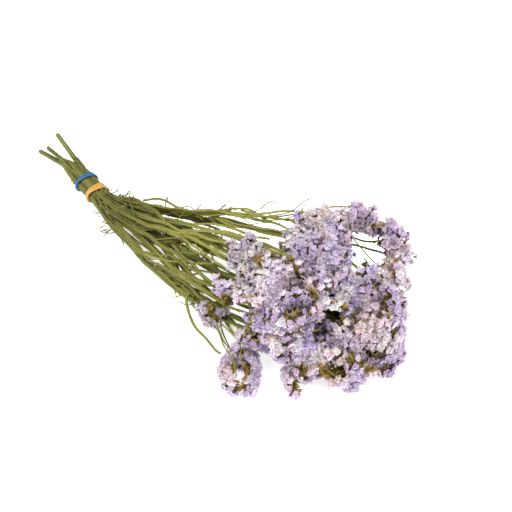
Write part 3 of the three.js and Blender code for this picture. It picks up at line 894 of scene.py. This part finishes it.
def grow_shoots():
    """The shoots, the leaf bases and dry bits at the tie, and the twigs of the bare tips."""
    growth = green_growth()
    for start, end, *points in SHOOTS:
        shoot(growth, Spline(points), SHOOT_STEPS, start, end)
    for k in range(PACKING):
        angle = 2 * pi * (k + rng.uniform(-0.2, 0.2)) / PACKING
        reach = tie_reach(angle) - 2.2
        out, up = reach * cos(angle), reach * sin(angle)
        points = [
            (rng.uniform(-78, -52), 12 + out * 0.3, WAIST_HEIGHT + 2 + up * 0.5),
            turned((-WAIST_REACH, out, WAIST_HEIGHT + up)),
            turned((WAIST_REACH, out, WAIST_HEIGHT + up)),
            (70 + rng.uniform(-10, 20), -14 + out * 2.0, WAIST_HEIGHT + 6 + up * 1.7),
            (120 + rng.uniform(-10, 30), -12 + out * 3.2, WAIST_HEIGHT + 10 + up * 2.6),
        ]
        frames = frames_along(Spline(points), LEAF_BASE_STEPS)
        thread(growth, frames, 0.9, 1.6, 6, rng.random(), rng.uniform(0, 0.2), belly=3.6)
    for _ in range(DRY_BITS):
        x = rng.uniform(26, 96)
        angle = rng.uniform(-0.4, pi + 0.4)
        reach = tie_reach(angle) * mix(1.0, 2.0, (x - 26) / 70)
        up = WAIST_HEIGHT + 0.1 * x + reach * sin(angle)
        at = turned((x, reach * cos(angle), up))
        out = turned((0, cos(angle), sin(angle)))
        heading = Vector((rng.choice((-1, 1)), rng.uniform(-1, 1), rng.uniform(-0.5, 0.5)))
        length = rng.uniform(7, 20)
        bend, twist = rng.uniform(-2, 2.4), rng.uniform(-2, 2)
        bit = arc_frames(at, heading + out * 0.5, out, length, bend, twist, 8)
        if inside(bit, DRY_GAP):
            blade(growth, bit, rng.uniform(1.2, 3.0), 0.5, 0.5, rng.uniform(0.1, 0.8), section=FOUR)
    for at, way, normal, length in bare_tip_twigs():
        thread(growth, arc_frames(at, way, normal, length, 0.5, 0.3, 5), 1.8, 0.9, 4, 0.4, 0.2)
    return growth


def grow_tendrils():
    """Dry curls: each bends more tightly as it goes."""
    growth = green_growth()
    for start, way, length in TENDRILS:
        heading = Vector(way).normalized()
        normal = across(heading)
        lean, curl = rng.uniform(-0.1, 0.1), rng.uniform(0.15, 0.6)

        def bend(t):
            return mix(0.02, curl, t**2)

        frames = curled_frames(start, heading, normal, length, bend, lean, TENDRIL_STEPS)
        if inside(frames, DRY_GAP):
            thread(growth, frames, 1.9, 1.1, 4, rng.random(), rng.uniform(0, 0.3))
    return growth


# ------ calyxes and bracts


def calyx_form(number):
    """A papery funnel with a frilled rim, closed."""
    draws = random.Random(SEED + number)
    growth = Growth("rim", "rib", "throat")
    corners = 10
    spread = draws.uniform(0.9, 1.1)
    flat = draws.uniform(0.55, 0.95)
    frill = [[draws.uniform(-1, 1) for _ in range(corners)] for _ in range(3)]
    # Height, radius, how frilled, how near the rim, how deep in the throat.
    sections = (
        (5.2, 1.3, 0.1, 0.2, 0.0),
        (10.7, 5.5 * spread, 1.0, 1.0, 0.0),
        (9.1, 3.3 * spread, 0.7, 0.7, 0.8),
    )
    rings = []
    for height, radius, frilled, rim, throat in sections:
        ring = []
        for k in range(corners):
            fold = 1 if k % 2 else -1
            out = radius * (1 + frilled * (0.15 * fold + 0.17 * frill[0][k]))
            up = height + frilled * (0.85 * fold + 1.2 * frill[1][k])
            angle = 2 * pi * (k + 0.45 * frilled * frill[2][k]) / corners
            place = (out * cos(angle), out * sin(angle) * mix(1, flat, rim), up)
            ring.append(growth.point(place, rim=rim, rib=(fold + 1) / 2, throat=throat))
        rings.append(ring)
    growth.cap(growth.point((0, 0, 0)), rings[0][::-1])
    well = (draws.uniform(-1, 1), draws.uniform(-1, 1), 10.2)
    growth.cap(growth.point(well, rim=0.9), rings[-1])
    for low, high in zip(rings, rings[1:]):
        growth.wall(low, high)
    return growth


def bract_form(number):
    """A pointed scale, cupped round the spine."""
    draws = random.Random(SEED + 50 + number)
    growth = green_growth()
    bend, twist = draws.uniform(-0.5, 0.6), draws.uniform(-0.3, 0.3)
    leaf = arc_frames((0, 0, 0), UP, Vector((-1, 0, 0)), BRACT_LENGTH, bend, twist, 3)
    blade(growth, leaf, draws.uniform(3.4, 4.8), 0.5, 0.7, 0.0, section=FOUR)
    top = max(p.z for p in growth.points)
    for name in ("age", "edge"):
        growth.values[name] = [min(1, p.z / top) for p in growth.points]
    return growth


def form_collection(name, forms, rounded=True):
    """The forms that are planted, kept out of the scene."""
    collection = bpy.data.collections.new(name)
    for i, growth in enumerate(forms):
        mesh = growth.mesh(f"{name}_{i:02d}", MM, rounded)
        collection.objects.link(bpy.data.objects.new(f"{name}_{i:02d}", mesh))
    return collection


def settle(at, aim, size, reach, height):
    """Bends and shrinks a form until it stands inside the bunch's box, or drops it."""
    low, high = BOX
    if not within(at, FORM_GAP):
        return None
    for _ in range(9):
        top = at + aim * (height * size)
        clear = True
        for k in range(3):
            around = reach * size * sqrt(max(0, 1 - aim[k] ** 2))
            below = top[k] - around < low[k] + SIDE_GAP
            if below or top[k] + around > high[k] - SIDE_GAP:
                aim = aim.copy()
                aim[k] += BEND if below else -BEND
                clear = False
        if clear:
            return aim, size
        aim.normalize()
        size *= SHRINK
    return None


def off_lean(place, middle):
    """How far a place is from the line through a point that leans as the openings do."""
    return beside(place - Vector(middle), OPENINGS_LEAN).length


def painted_shadow(place):
    """How deep a place is in the painted shadow in the middle of the bunch, where calyxes are
    painted darker as painted shade.
    """
    return smooth(SHADOW_PLACE["outer"], SHADOW_PLACE["inner"], off_lean(place, SHADOW_PLACE["middle"]))


def in_opening(place):
    """Whether a place lies in an opening, where nothing papery stands."""
    ragged = 1 + 0.16 * sin(place.x / 4.1) + 0.16 * sin(place.y / 3.3 + place.z / 5)
    return any(
        place.z > floor and off_lean(place, middle) < radius * ragged
        for middle, radius, floor in OPENINGS
    )


def crevice(place):
    """How near a place is to the border between two sprays, from 0 to 1."""
    near, following = sorted((place - heart).length for heart in HEARTS)[:2]
    return 1 - smooth(2, CREVICE, following - near)


def drift(place):
    """A slow change of shade through the bunch, between 0 and 1."""
    x, y, z = place
    return 0.5 + 0.25 * (sin(x / 17 + 1.3) + sin(y / 13 + x / 31) * cos(z / 15))


def spot(at, aim, size, forms, shade):
    """Where one of so many forms stands."""
    shade = min(1, max(0, shade))
    return {"at": at, "aim": aim, "size": size, "form": rng.randrange(forms), "shade": shade}


def calyx_spots(stem, spec, combs):
    """Where the calyxes of these combs stand."""
    _, facing, _ = lay_out(spec)
    curl = spec["curl"]
    spots = []

    def stand(at, aim, size, lighter=0.0):
        jitter = Vector([rng.gauss(0, CALYX_JITTER) for _ in range(3)])
        aim = (aim.normalized() + jitter).normalized()
        settled = settle(at, aim, size, CALYX_REACH, CALYX_HEIGHT)
        parted = crevice(at)
        if rng.random() < 0.6 * parted:
            return
        if settled and not in_opening(at + aim * (CALYX_HEIGHT * size)):
            aim, size = settled
            # Painted light and shade: calyxes are painted paler on the side towards the light and
            # the more they face up, and darker, as painted shade, at their spray's rim, at the
            # borders between sprays and in the painted shadow.
            bleach_and_painted_light = max(smooth(40, 150, at.y), smooth(455, 495, at.x))
            out = beside(at - spec["heart"], facing).length / spec["length"]
            lighter += 0.11 - 0.45 * parted + PAINTED_LIGHT_SIDE * bleach_and_painted_light
            lighter += 0.3 * aim.z + 0.06 - 0.5 * smooth(0.35, 0.95, out) - 0.95 * painted_shadow(at)
            shade = 0.85 * drift(at) + 0.15 * rng.random() - 0.05 + lighter
            spots.append(spot(at, aim, size, CALYX_FORMS, shade))

    rows, start = curl["rows"], curl["start"]
    for comb in combs:
        count = round(comb["length"] * (1 - start) / curl["pitch"])
        lump, tone = rng.uniform(0, 6.3), rng.uniform(-0.22, 0.16)
        for i in range(count):
            t = start + (1 - start) * (i + rng.uniform(0.1, 0.9)) / count
            phi = radians(rows[i % len(rows)] + rng.uniform(-9, 9))
            at, heading, normal, side = comb_frame(comb, t, lift=1.0, droop=True)
            aim = swung(normal, side, phi) + heading * rng.uniform(-0.1, 0.4)
            if curl is DOME:
                aim += facing * (0.5 * (1 - t))
            swell = 1 + 0.14 * sin(lump + 9 * t + 2 * phi)
            size = rng.uniform(0.72, 1.02) * swell * curl["size"]
            stand(at, aim, size, 0.3 * smooth(0.6, 1, t) + tone)
        for _ in range(5 if comb["main"] else 3):
            at, heading, normal, side = comb_frame(comb, 1.0, droop=True)
            aim = normal * rng.uniform(0.2, 0.9) + side * rng.uniform(-0.7, 0.7) + heading * 0.9
            stand(at, aim, rng.uniform(0.65, 0.9), 0.3)
    root = comb_frame(combs[0], 0.0)[0]
    if curl is LANTERN:
        for _ in range(HEART_CALYXES):
            aim = across(facing) + facing * rng.uniform(0.2, 1.0)
            stand(root + facing * rng.uniform(0, 22), aim, rng.uniform(0.65, 0.9), 0.1)
        return spots
    for _ in range(ROOT_CALYXES):
        aim = facing + Vector([rng.uniform(-0.6, 0.6) for _ in range(3)])
        stand(root + facing * 2, aim, rng.uniform(0.8, 1.1))
    # The tuft sits behind the combs, and its calyxes are painted darker, as painted shade.
    place, heading = tuft_place(stem, spec)
    for _ in range(TUFT_CALYXES):
        aim = across(heading) + heading * rng.uniform(0.0, 0.9)
        stand(place, aim, rng.uniform(0.7, 1.0), -0.3)
    return spots


def bract_spots(stem, twigs):
    """Where the scales stand along twigs, along every comb's spine and round every tuft."""
    spots = []

    def stand(at, aim, size):
        settled = settle(at, aim.normalized(), size, BRACT_REACH, BRACT_LENGTH)
        if settled and not in_opening(at + aim.normalized() * (BRACT_LENGTH * size)):
            shade = 0.7 * drift(at * 1.7) + 0.3 * rng.random()
            spots.append(spot(at, *settled, BRACT_FORMS, shade))

    for spec in stem["sprays"]:
        for comb in combs_of(spec):
            single = spec["combs"] == 1 or spec["curl"] is LANTERN
            count = round(comb["length"] / (0.55 if single else 0.9))
            for i in range(count):
                t = (i + rng.uniform(0.2, 0.8)) / count
                at, heading, normal, side = comb_frame(comb, t, droop=True)
                turn = radians(BRACT_ROWS[i % len(BRACT_ROWS)] + rng.uniform(-14, 14))
                away = swung(normal, side, turn)
                aim = heading * rng.uniform(0.2, 0.9) + away * rng.uniform(0.4, 1.0)
                stand(at, aim, rng.uniform(0.9, 1.4) * (1.2 if single else 1))
        twigs = [*twigs, *nest_twigs(spec)]
        place, heading = tuft_place(stem, spec)
        for _ in range(TUFT_BRACTS):
            stand(place, across(heading) + heading * rng.uniform(0, 0.8), rng.uniform(0.7, 1.1))
    for at, way, _, length in twigs:
        for k in range(TWIG_BRACTS):
            aim = way * 0.8 + across(way)
            stand(at + way * (length * k / TWIG_BRACTS), aim, rng.uniform(0.7, 1.1))
    return spots


# ------ rubber bands


def rounded_corner(value, power):
    """A cosine or sine, pushed out towards a square."""
    return copysign(abs(value) ** power, value)


def band_mesh(name, spec):
    """A closed strip that is wound twice round the tie."""
    growth = Growth("streak")
    corners = 10
    rings = []
    for i in range(BAND_STEPS):
        lap = 2 * pi * i / BAND_STEPS
        angle = 2 * lap
        layer = (spec["thickness"] + CLEARANCE) / 2
        over = layer * min(1, max(-1, BAND_CROSSING * sin(lap)))
        middle = tie_reach(angle) + layer + spec["thickness"] / 2 + over
        away = spec["x"] + spec["swing"] * cos(lap)
        ring = []
        for k in range(corners):
            turn = 2 * pi * k / corners
            along = rounded_corner(cos(turn), 0.5) * spec["width"] / 2
            radius = middle + rounded_corner(sin(turn), 0.6) * spec["thickness"] / 2
            up = WAIST_HEIGHT + radius * sin(angle)
            place = turned((away + along, radius * cos(angle), up))
            ring.append(growth.point(place, streak=0.5 + 0.5 * wave(k, i)))
        rings.append(ring)
    for low, high in zip(rings, rings[1:] + rings[:1]):
        growth.wall(high, low)
    return growth.mesh(name)


# ------ nodes


def operator(operation):
    """A method of a number that feeds itself and another one to a maths node."""

    def method(self, other):
        made = self.nodes.node("ShaderNodeMath", {"operation": operation})
        for socket, value in zip(made.inputs, (self, other)):
            self.nodes.feed(socket, value)
        return Number(self.nodes, made.outputs[0])

    return method


class Number:
    """A socket that takes Python's operators."""

    __add__ = operator("ADD")
    __sub__ = operator("SUBTRACT")
    __mul__ = operator("MULTIPLY")
    __pow__ = operator("POWER")

    def __init__(self, nodes, socket):
        self.nodes, self.socket = nodes, socket


class Nodes:
    """A node tree that is built line by line. A node stands for its first output."""

    def __init__(self, tree):
        self.tree = tree

    def feed(self, socket, value):
        if isinstance(value, bpy.types.Node):
            value = value.outputs[0]
        elif isinstance(value, Number):
            value = value.socket
        if isinstance(value, bpy.types.NodeSocket):
            self.tree.links.new(value, socket)
        else:
            socket.default_value = value

    def node(self, kind, settings=None, **inputs):
        made = self.tree.nodes.new(kind)
        for key, value in (settings or {}).items():
            setattr(made, key, value)
        for key, value in inputs.items():
            self.feed(made.inputs[key.replace("_", " ")], value)
        return made


class Tree(Nodes):
    """A geometry node tree with named inputs."""

    def __init__(self, name, **inputs):
        super().__init__(bpy.data.node_groups.new(name, "GeometryNodeTree"))
        face = self.tree.interface
        face.new_socket("Geometry", in_out="INPUT", socket_type="NodeSocketGeometry")
        self.ids = {}
        for key, kind in inputs.items():
            self.ids[key] = face.new_socket(key, in_out="INPUT", socket_type=kind).identifier
        face.new_socket("Geometry", in_out="OUTPUT", socket_type="NodeSocketGeometry")
        self.start = self.node("NodeGroupInput").outputs
        self.end = self.node("NodeGroupOutput").inputs

    def value(self, name, kind="FLOAT"):
        return self.node("GeometryNodeInputNamedAttribute", {"data_type": kind}, Name=name)


class Paint(Nodes):
    """A material under way."""

    def __init__(self, name, roughness, **constants):
        self.material = bpy.data.materials.new(name)
        self.material.use_nodes = True
        super().__init__(self.material.node_tree)
        self.shader = self.tree.nodes["Principled BSDF"]
        for key, value in {"Roughness": roughness, **constants}.items():
            self.shader.inputs[key.replace("_", " ")].default_value = value

    def value(self, name):
        made = self.node("ShaderNodeAttribute", {"attribute_name": name})
        return Number(self, made.outputs["Fac"])

    def noise(self, scale, detail=3.0):
        place = self.node("ShaderNodeTexCoord").outputs["Object"]
        sizes = {"Scale": scale, "Detail": detail, "Roughness": 0.6}
        return Number(self, self.node("ShaderNodeTexNoise", Vector=place, **sizes).outputs["Fac"])

    def ramp(self, value, *stops):
        made = self.node("ShaderNodeValToRGB", Fac=value)
        elements = made.color_ramp.elements
        while len(elements) < len(stops):
            elements.new(1.0)
        for element, (position, code) in zip(elements, stops):
            element.position = position
            element.color = linear(code)
        return made

    def blend(self, factor, a, b, mode="MIX"):
        made = self.node("ShaderNodeMix", {"data_type": "RGBA", "blend_type": mode})
        self.feed(made.inputs["Factor"], factor)
        self.feed(made.inputs[6], a)
        self.feed(made.inputs[7], b)
        return made.outputs[2]

    def finish(self, colour, bump=None, strength=0.3, distance=0.0005):
        self.feed(self.shader.inputs["Base Color"], colour)
        if bump:
            made = self.node("ShaderNodeBump", Strength=strength, Distance=distance, Height=bump)
            self.feed(self.shader.inputs["Normal"], made)
        return self.material


def planting_tree():
    """Plants one of a collection's forms on each point, turned to the point's aim."""
    tree = Tree(
        "planting",
        Forms="NodeSocketCollection",
        Seed="NodeSocketInt",
        Finish="NodeSocketMaterial",
    )
    forms = tree.node(
        "GeometryNodeCollectionInfo",
        {"transform_space": "ORIGINAL"},
        Collection=tree.start["Forms"],
        Separate_Children=True,
        Reset_Children=True,
    )
    aim = tree.node(
        "FunctionNodeAlignRotationToVector",
        {"axis": "Z", "pivot_axis": "AUTO"},
        Vector=tree.value("aim", "FLOAT_VECTOR"),
    )
    spin = tree.node("FunctionNodeRandomValue", {"data_type": "FLOAT"}, Seed=tree.start["Seed"])
    tree.feed(spin.inputs[2], -pi)
    tree.feed(spin.inputs[3], pi)
    about = tree.node("FunctionNodeAxisAngleToRotation", Axis=(0, 0, 1), Angle=spin.outputs[1])
    turn = tree.node(
        "FunctionNodeRotateRotation", {"rotation_space": "LOCAL"}, Rotation=aim, Rotate_By=about
    )
    planted = tree.node(
        "GeometryNodeInstanceOnPoints",
        Points=tree.start["Geometry"],
        Instance=forms,
        Pick_Instance=True,
        Instance_Index=tree.value("form", "INT"),
        Rotation=turn,
        Scale=tree.value("size"),
    )
    real = tree.node("GeometryNodeRealizeInstances", Geometry=planted)
    done = tree.node("GeometryNodeSetMaterial", Geometry=real, Material=tree.start["Finish"])
    tree.feed(tree.end["Geometry"], done)
    return tree


def plant(name, spots, tree, forms, material):
    """A plain mesh of forms on spots, each with its place, aim, size, form and shade."""
    mesh = bpy.data.meshes.new(name)
    mesh.from_pydata([placed(s["at"]) for s in spots], [], [])
    for key, kind in (("size", "FLOAT"), ("shade", "FLOAT"), ("form", "INT")):
        attribute = mesh.attributes.new(key, kind, "POINT")
        attribute.data.foreach_set("value", [s[key] for s in spots])
    aim = mesh.attributes.new("aim", "FLOAT_VECTOR", "POINT")
    aim.data.foreach_set("vector", [c for s in spots for c in s["aim"]])
    bed = put(name, mesh)
    modifier = bed.modifiers.new("planting", "NODES")
    modifier.node_group = tree.tree
    for key, value in (("Forms", forms), ("Seed", SEED), ("Finish", material)):
        modifier[tree.ids[key]] = value
    depsgraph = bpy.context.evaluated_depsgraph_get()
    made = bpy.data.meshes.new_from_object(bed.evaluated_get(depsgraph))
    bpy.data.objects.remove(bed)
    made.name = name
    return made


# ------ materials


def linear(code):
    """A colour as light, from its six-digit web code."""
    channels = [int(code[i : i + 2], 16) / 255 for i in (0, 2, 4)]
    return (*(c / 12.92 if c <= 0.04045 else ((c + 0.055) / 1.055) ** 2.4 for c in channels), 1.0)


def calyx_material(name, deep, middle, pale, edge):
    """Papery calyx: an olive tube, painted darker towards its base as painted shade, a mottled
    limb with faint ribs, a faded paler rim, and a throat painted deeper as painted shade.
    """
    paint = Paint(
        name,
        0.7,
        Subsurface_Weight=0.8,
        Subsurface_Scale=0.006,
        Subsurface_Radius=(1.0, 0.8, 1.0),
    )
    # The shade value holds each calyx's own tone along with the painted light and painted shade of
    # its place.
    rim, shade = paint.value("rim"), paint.value("shade")
    mottle = (paint.noise(55) - 0.5) * 0.9 + (paint.noise(900) - 0.5) * 0.1
    shaded = paint.ramp(shade + mottle, (0.0, deep), (0.38, middle), (0.75, pale), (1.0, edge))
    hue = paint.ramp(paint.noise(42, 2.0), (0.34, "dcd5ff"), (0.5, "fffbfe"), (0.66, "ffe4c9"))
    limb = paint.blend(0.7, shaded, hue, "MULTIPLY")
    veined = paint.blend(paint.value("rib") * 0.1, limb, linear(deep))
    # The tube is olive, its own colour, and painted darker towards its base, painted shade among
    # the bracts.
    tube = paint.ramp(rim, (0.0, "5c5630"), (0.35, "978a66"), (0.72, "ffffff"))
    body = paint.blend(1.0, veined, tube, "MULTIPLY")
    bleach_and_painted_light = paint.blend((rim**3) * 0.35, body, linear(edge))
    # Painted shade: the throat, down in each funnel, is painted deeper.
    hollow = paint.blend(paint.value("throat") * 0.16, bleach_and_painted_light, linear(deep))
    return paint.finish(hollow, paint.noise(2600, 2.0), 0.2, 0.0003)


def stem_material():
    """Dried stem: olive streaks, paler wings and, with age, a dry brown."""
    paint = Paint("dried stem", 0.68)
    streak, age, wing = paint.value("streak"), paint.value("age"), paint.value("edge")
    # The tone value holds each piece's own tone and, on the higher stems, painted light.
    mottle = (paint.noise(240) - 0.5) * 0.5 + (paint.value("tone") - 0.5) * 0.9
    body = paint.ramp(streak + mottle, (0.05, "35380f"), (0.95, "868635"))
    edged = paint.blend(wing * 0.4, body, linear("938f40"))
    colour = paint.blend(age * (paint.noise(120) * 0.6 + 0.7), edged, linear("7e6c38"))
    return paint.finish(colour, paint.noise(1500), 0.35, 0.0004)


def bract_material():
    """Scaly bract: a green base, and a tip from ochre to russet."""
    paint = Paint("scaly bract", 0.7)
    age, shade = paint.value("age"), paint.value("shade")
    tips = paint.ramp(shade, (0.1, "77712f"), (0.4, "b8964a"), (0.65, "d69e50"), (0.95, "b2683c"))
    body = paint.ramp(paint.noise(300), (0.25, "4a4f1c"), (0.75, "84823a"))
    return paint.finish(paint.blend(age**1.3, body, tips), paint.noise(1600), 0.3, 0.0003)


def rubber_material(name, dark, light):
    paint = Paint(name, 0.48)
    streaked = paint.value("streak") * 0.4 + paint.noise(420) * 0.6
    colour = paint.ramp(streaked, (0.25, dark), (0.75, light))
    return paint.finish(colour, paint.noise(2400), 0.15, 0.0002)


# The colours of each kind, from the deepest shade to the faded edge; painted light and
# painted shade move a calyx along them.
CALYX_COLOURS = {
    "lilac": ("6f579a", "b99bcc", "dbc1d9", "ede1e5"),
    "bluish": ("695698", "ad98cc", "cfbddb", "e7dee7"),
    "pinkish": ("886e9c", "caacc9", "e2cdd9", "f1e6e5"),
    "greyish": ("6c5f80", "a593ab", "c4b4c1", "e0d6d5"),
}
RUBBER = {"band_blue": ("16568a", "2374ac"), "band_orange": ("b98339", "deb064")}

calyx_paints = {k: calyx_material(f"{k} calyx", *v) for k, v in CALYX_COLOURS.items()}
stem_paint = stem_material()
bract_paint = bract_material()

# ------ the bunch

tree = planting_tree()
calyx_forms = form_collection("calyx", [calyx_form(i) for i in range(CALYX_FORMS)], False)
bract_forms = form_collection("bract", [bract_form(i) for i in range(BRACT_FORMS)])

number = 0
for s, stem in enumerate(STEMS):
    name = f"stem_{s + 1:02d}"
    green = grow_stem(s, stem).mesh(f"{name}_winged")
    show(f"{name}_winged", green, stem_paint, name)
    spots = bract_spots(stem, bare_tip_twigs() if s == BARE_TIPS_STEM else [])
    scales = plant(f"{name}_bracts", spots, tree, bract_forms, bract_paint)
    show(f"{name}_bracts", scales, bract_paint, None)
    for spec in stem["sprays"]:
        number += 1
        parts = {f"spray_{number:02d}": combs_of(spec)}
        if spec["curl"] is LANTERN:
            parts = {f"spray_{number:02d}_comb_{k + 1}": [c] for k, c in enumerate(combs_of(spec))}
        paint = calyx_paints[spec["tint"]]
        for part, combs in parts.items():
            spots = calyx_spots(stem, spec, combs)
            papery = plant(f"{part}_calyxes", spots, tree, calyx_forms, paint)
            show(f"{part}_calyxes", papery, paint, part)

show("bare_shoots", grow_shoots().mesh("bare_shoots"), stem_paint, None)
show("tendrils", grow_tendrils().mesh("tendrils"), stem_paint, None)

for name, spec in BANDS.items():
    paint = rubber_material(name.replace("_", " "), *RUBBER[name])
    show(f"{name}_rubber", band_mesh(f"{name}_rubber", spec), paint, name)

# ------ floor, light, camera

FLOOR_REACH = 6.0
WHITE = (1, 1, 1, 1)
LIGHTS_AIM = Vector((0.1, 0, 0.05))

# Azimuth, elevation, distance and size of each light in metres, and its power.
LIGHTS = {"key": (225, 62, 2.2, 1.4, 48), "fill": (0, 50, 2.4, 1.8, 44)}

# What the camera looks at and how far off it is, in millimetres, and its ways.
LOOK_AT = Vector((251.37, 54.19, 19.13))
LOOK_FROM = {"azimuth": -48, "elevation": 45, "distance": 1555.84, "lens": 85}

corners = [(x * FLOOR_REACH, y * FLOOR_REACH, 0) for x, y in ((-1, -1), (1, -1), (1, 1), (-1, 1))]
floor_mesh = bpy.data.meshes.new("floor")
floor_mesh.from_pydata(corners, [], [(0, 1, 2, 3)])
floor_paint = Paint("pale floor", 0.9, Emission_Color=WHITE, Emission_Strength=0.7)
floor_mesh.materials.append(floor_paint.finish((0.93, 0.93, 0.93, 1)))
floor = put("floor", floor_mesh)

world = bpy.data.worlds.new("studio")
world.use_nodes = True
background = world.node_tree.nodes["Background"].inputs
background["Color"].default_value = WHITE
background["Strength"].default_value = 0.3
bpy.context.scene.world = world
bpy.context.scene.view_settings.view_transform = "Standard"


def look(thing, back, place):
    """Puts a light or a camera at a place, with that way behind it."""
    thing.location = place
    thing.rotation_euler = back.to_track_quat("Z", "Y").to_euler()


for name, (azimuth, elevation, distance, size, power) in LIGHTS.items():
    data = bpy.data.lights.new(name, "AREA")
    data.size = size
    data.energy = power
    back = towards(azimuth, elevation)
    look(put(name, data), back, LIGHTS_AIM + back * distance)

data = bpy.data.cameras.new("camera")
data.lens = LOOK_FROM["lens"]
data.sensor_width = 36
camera = put("camera", data)
back = towards(LOOK_FROM["azimuth"], LOOK_FROM["elevation"])
look(camera, back, placed(LOOK_AT + back * LOOK_FROM["distance"]))
bpy.context.scene.camera = camera
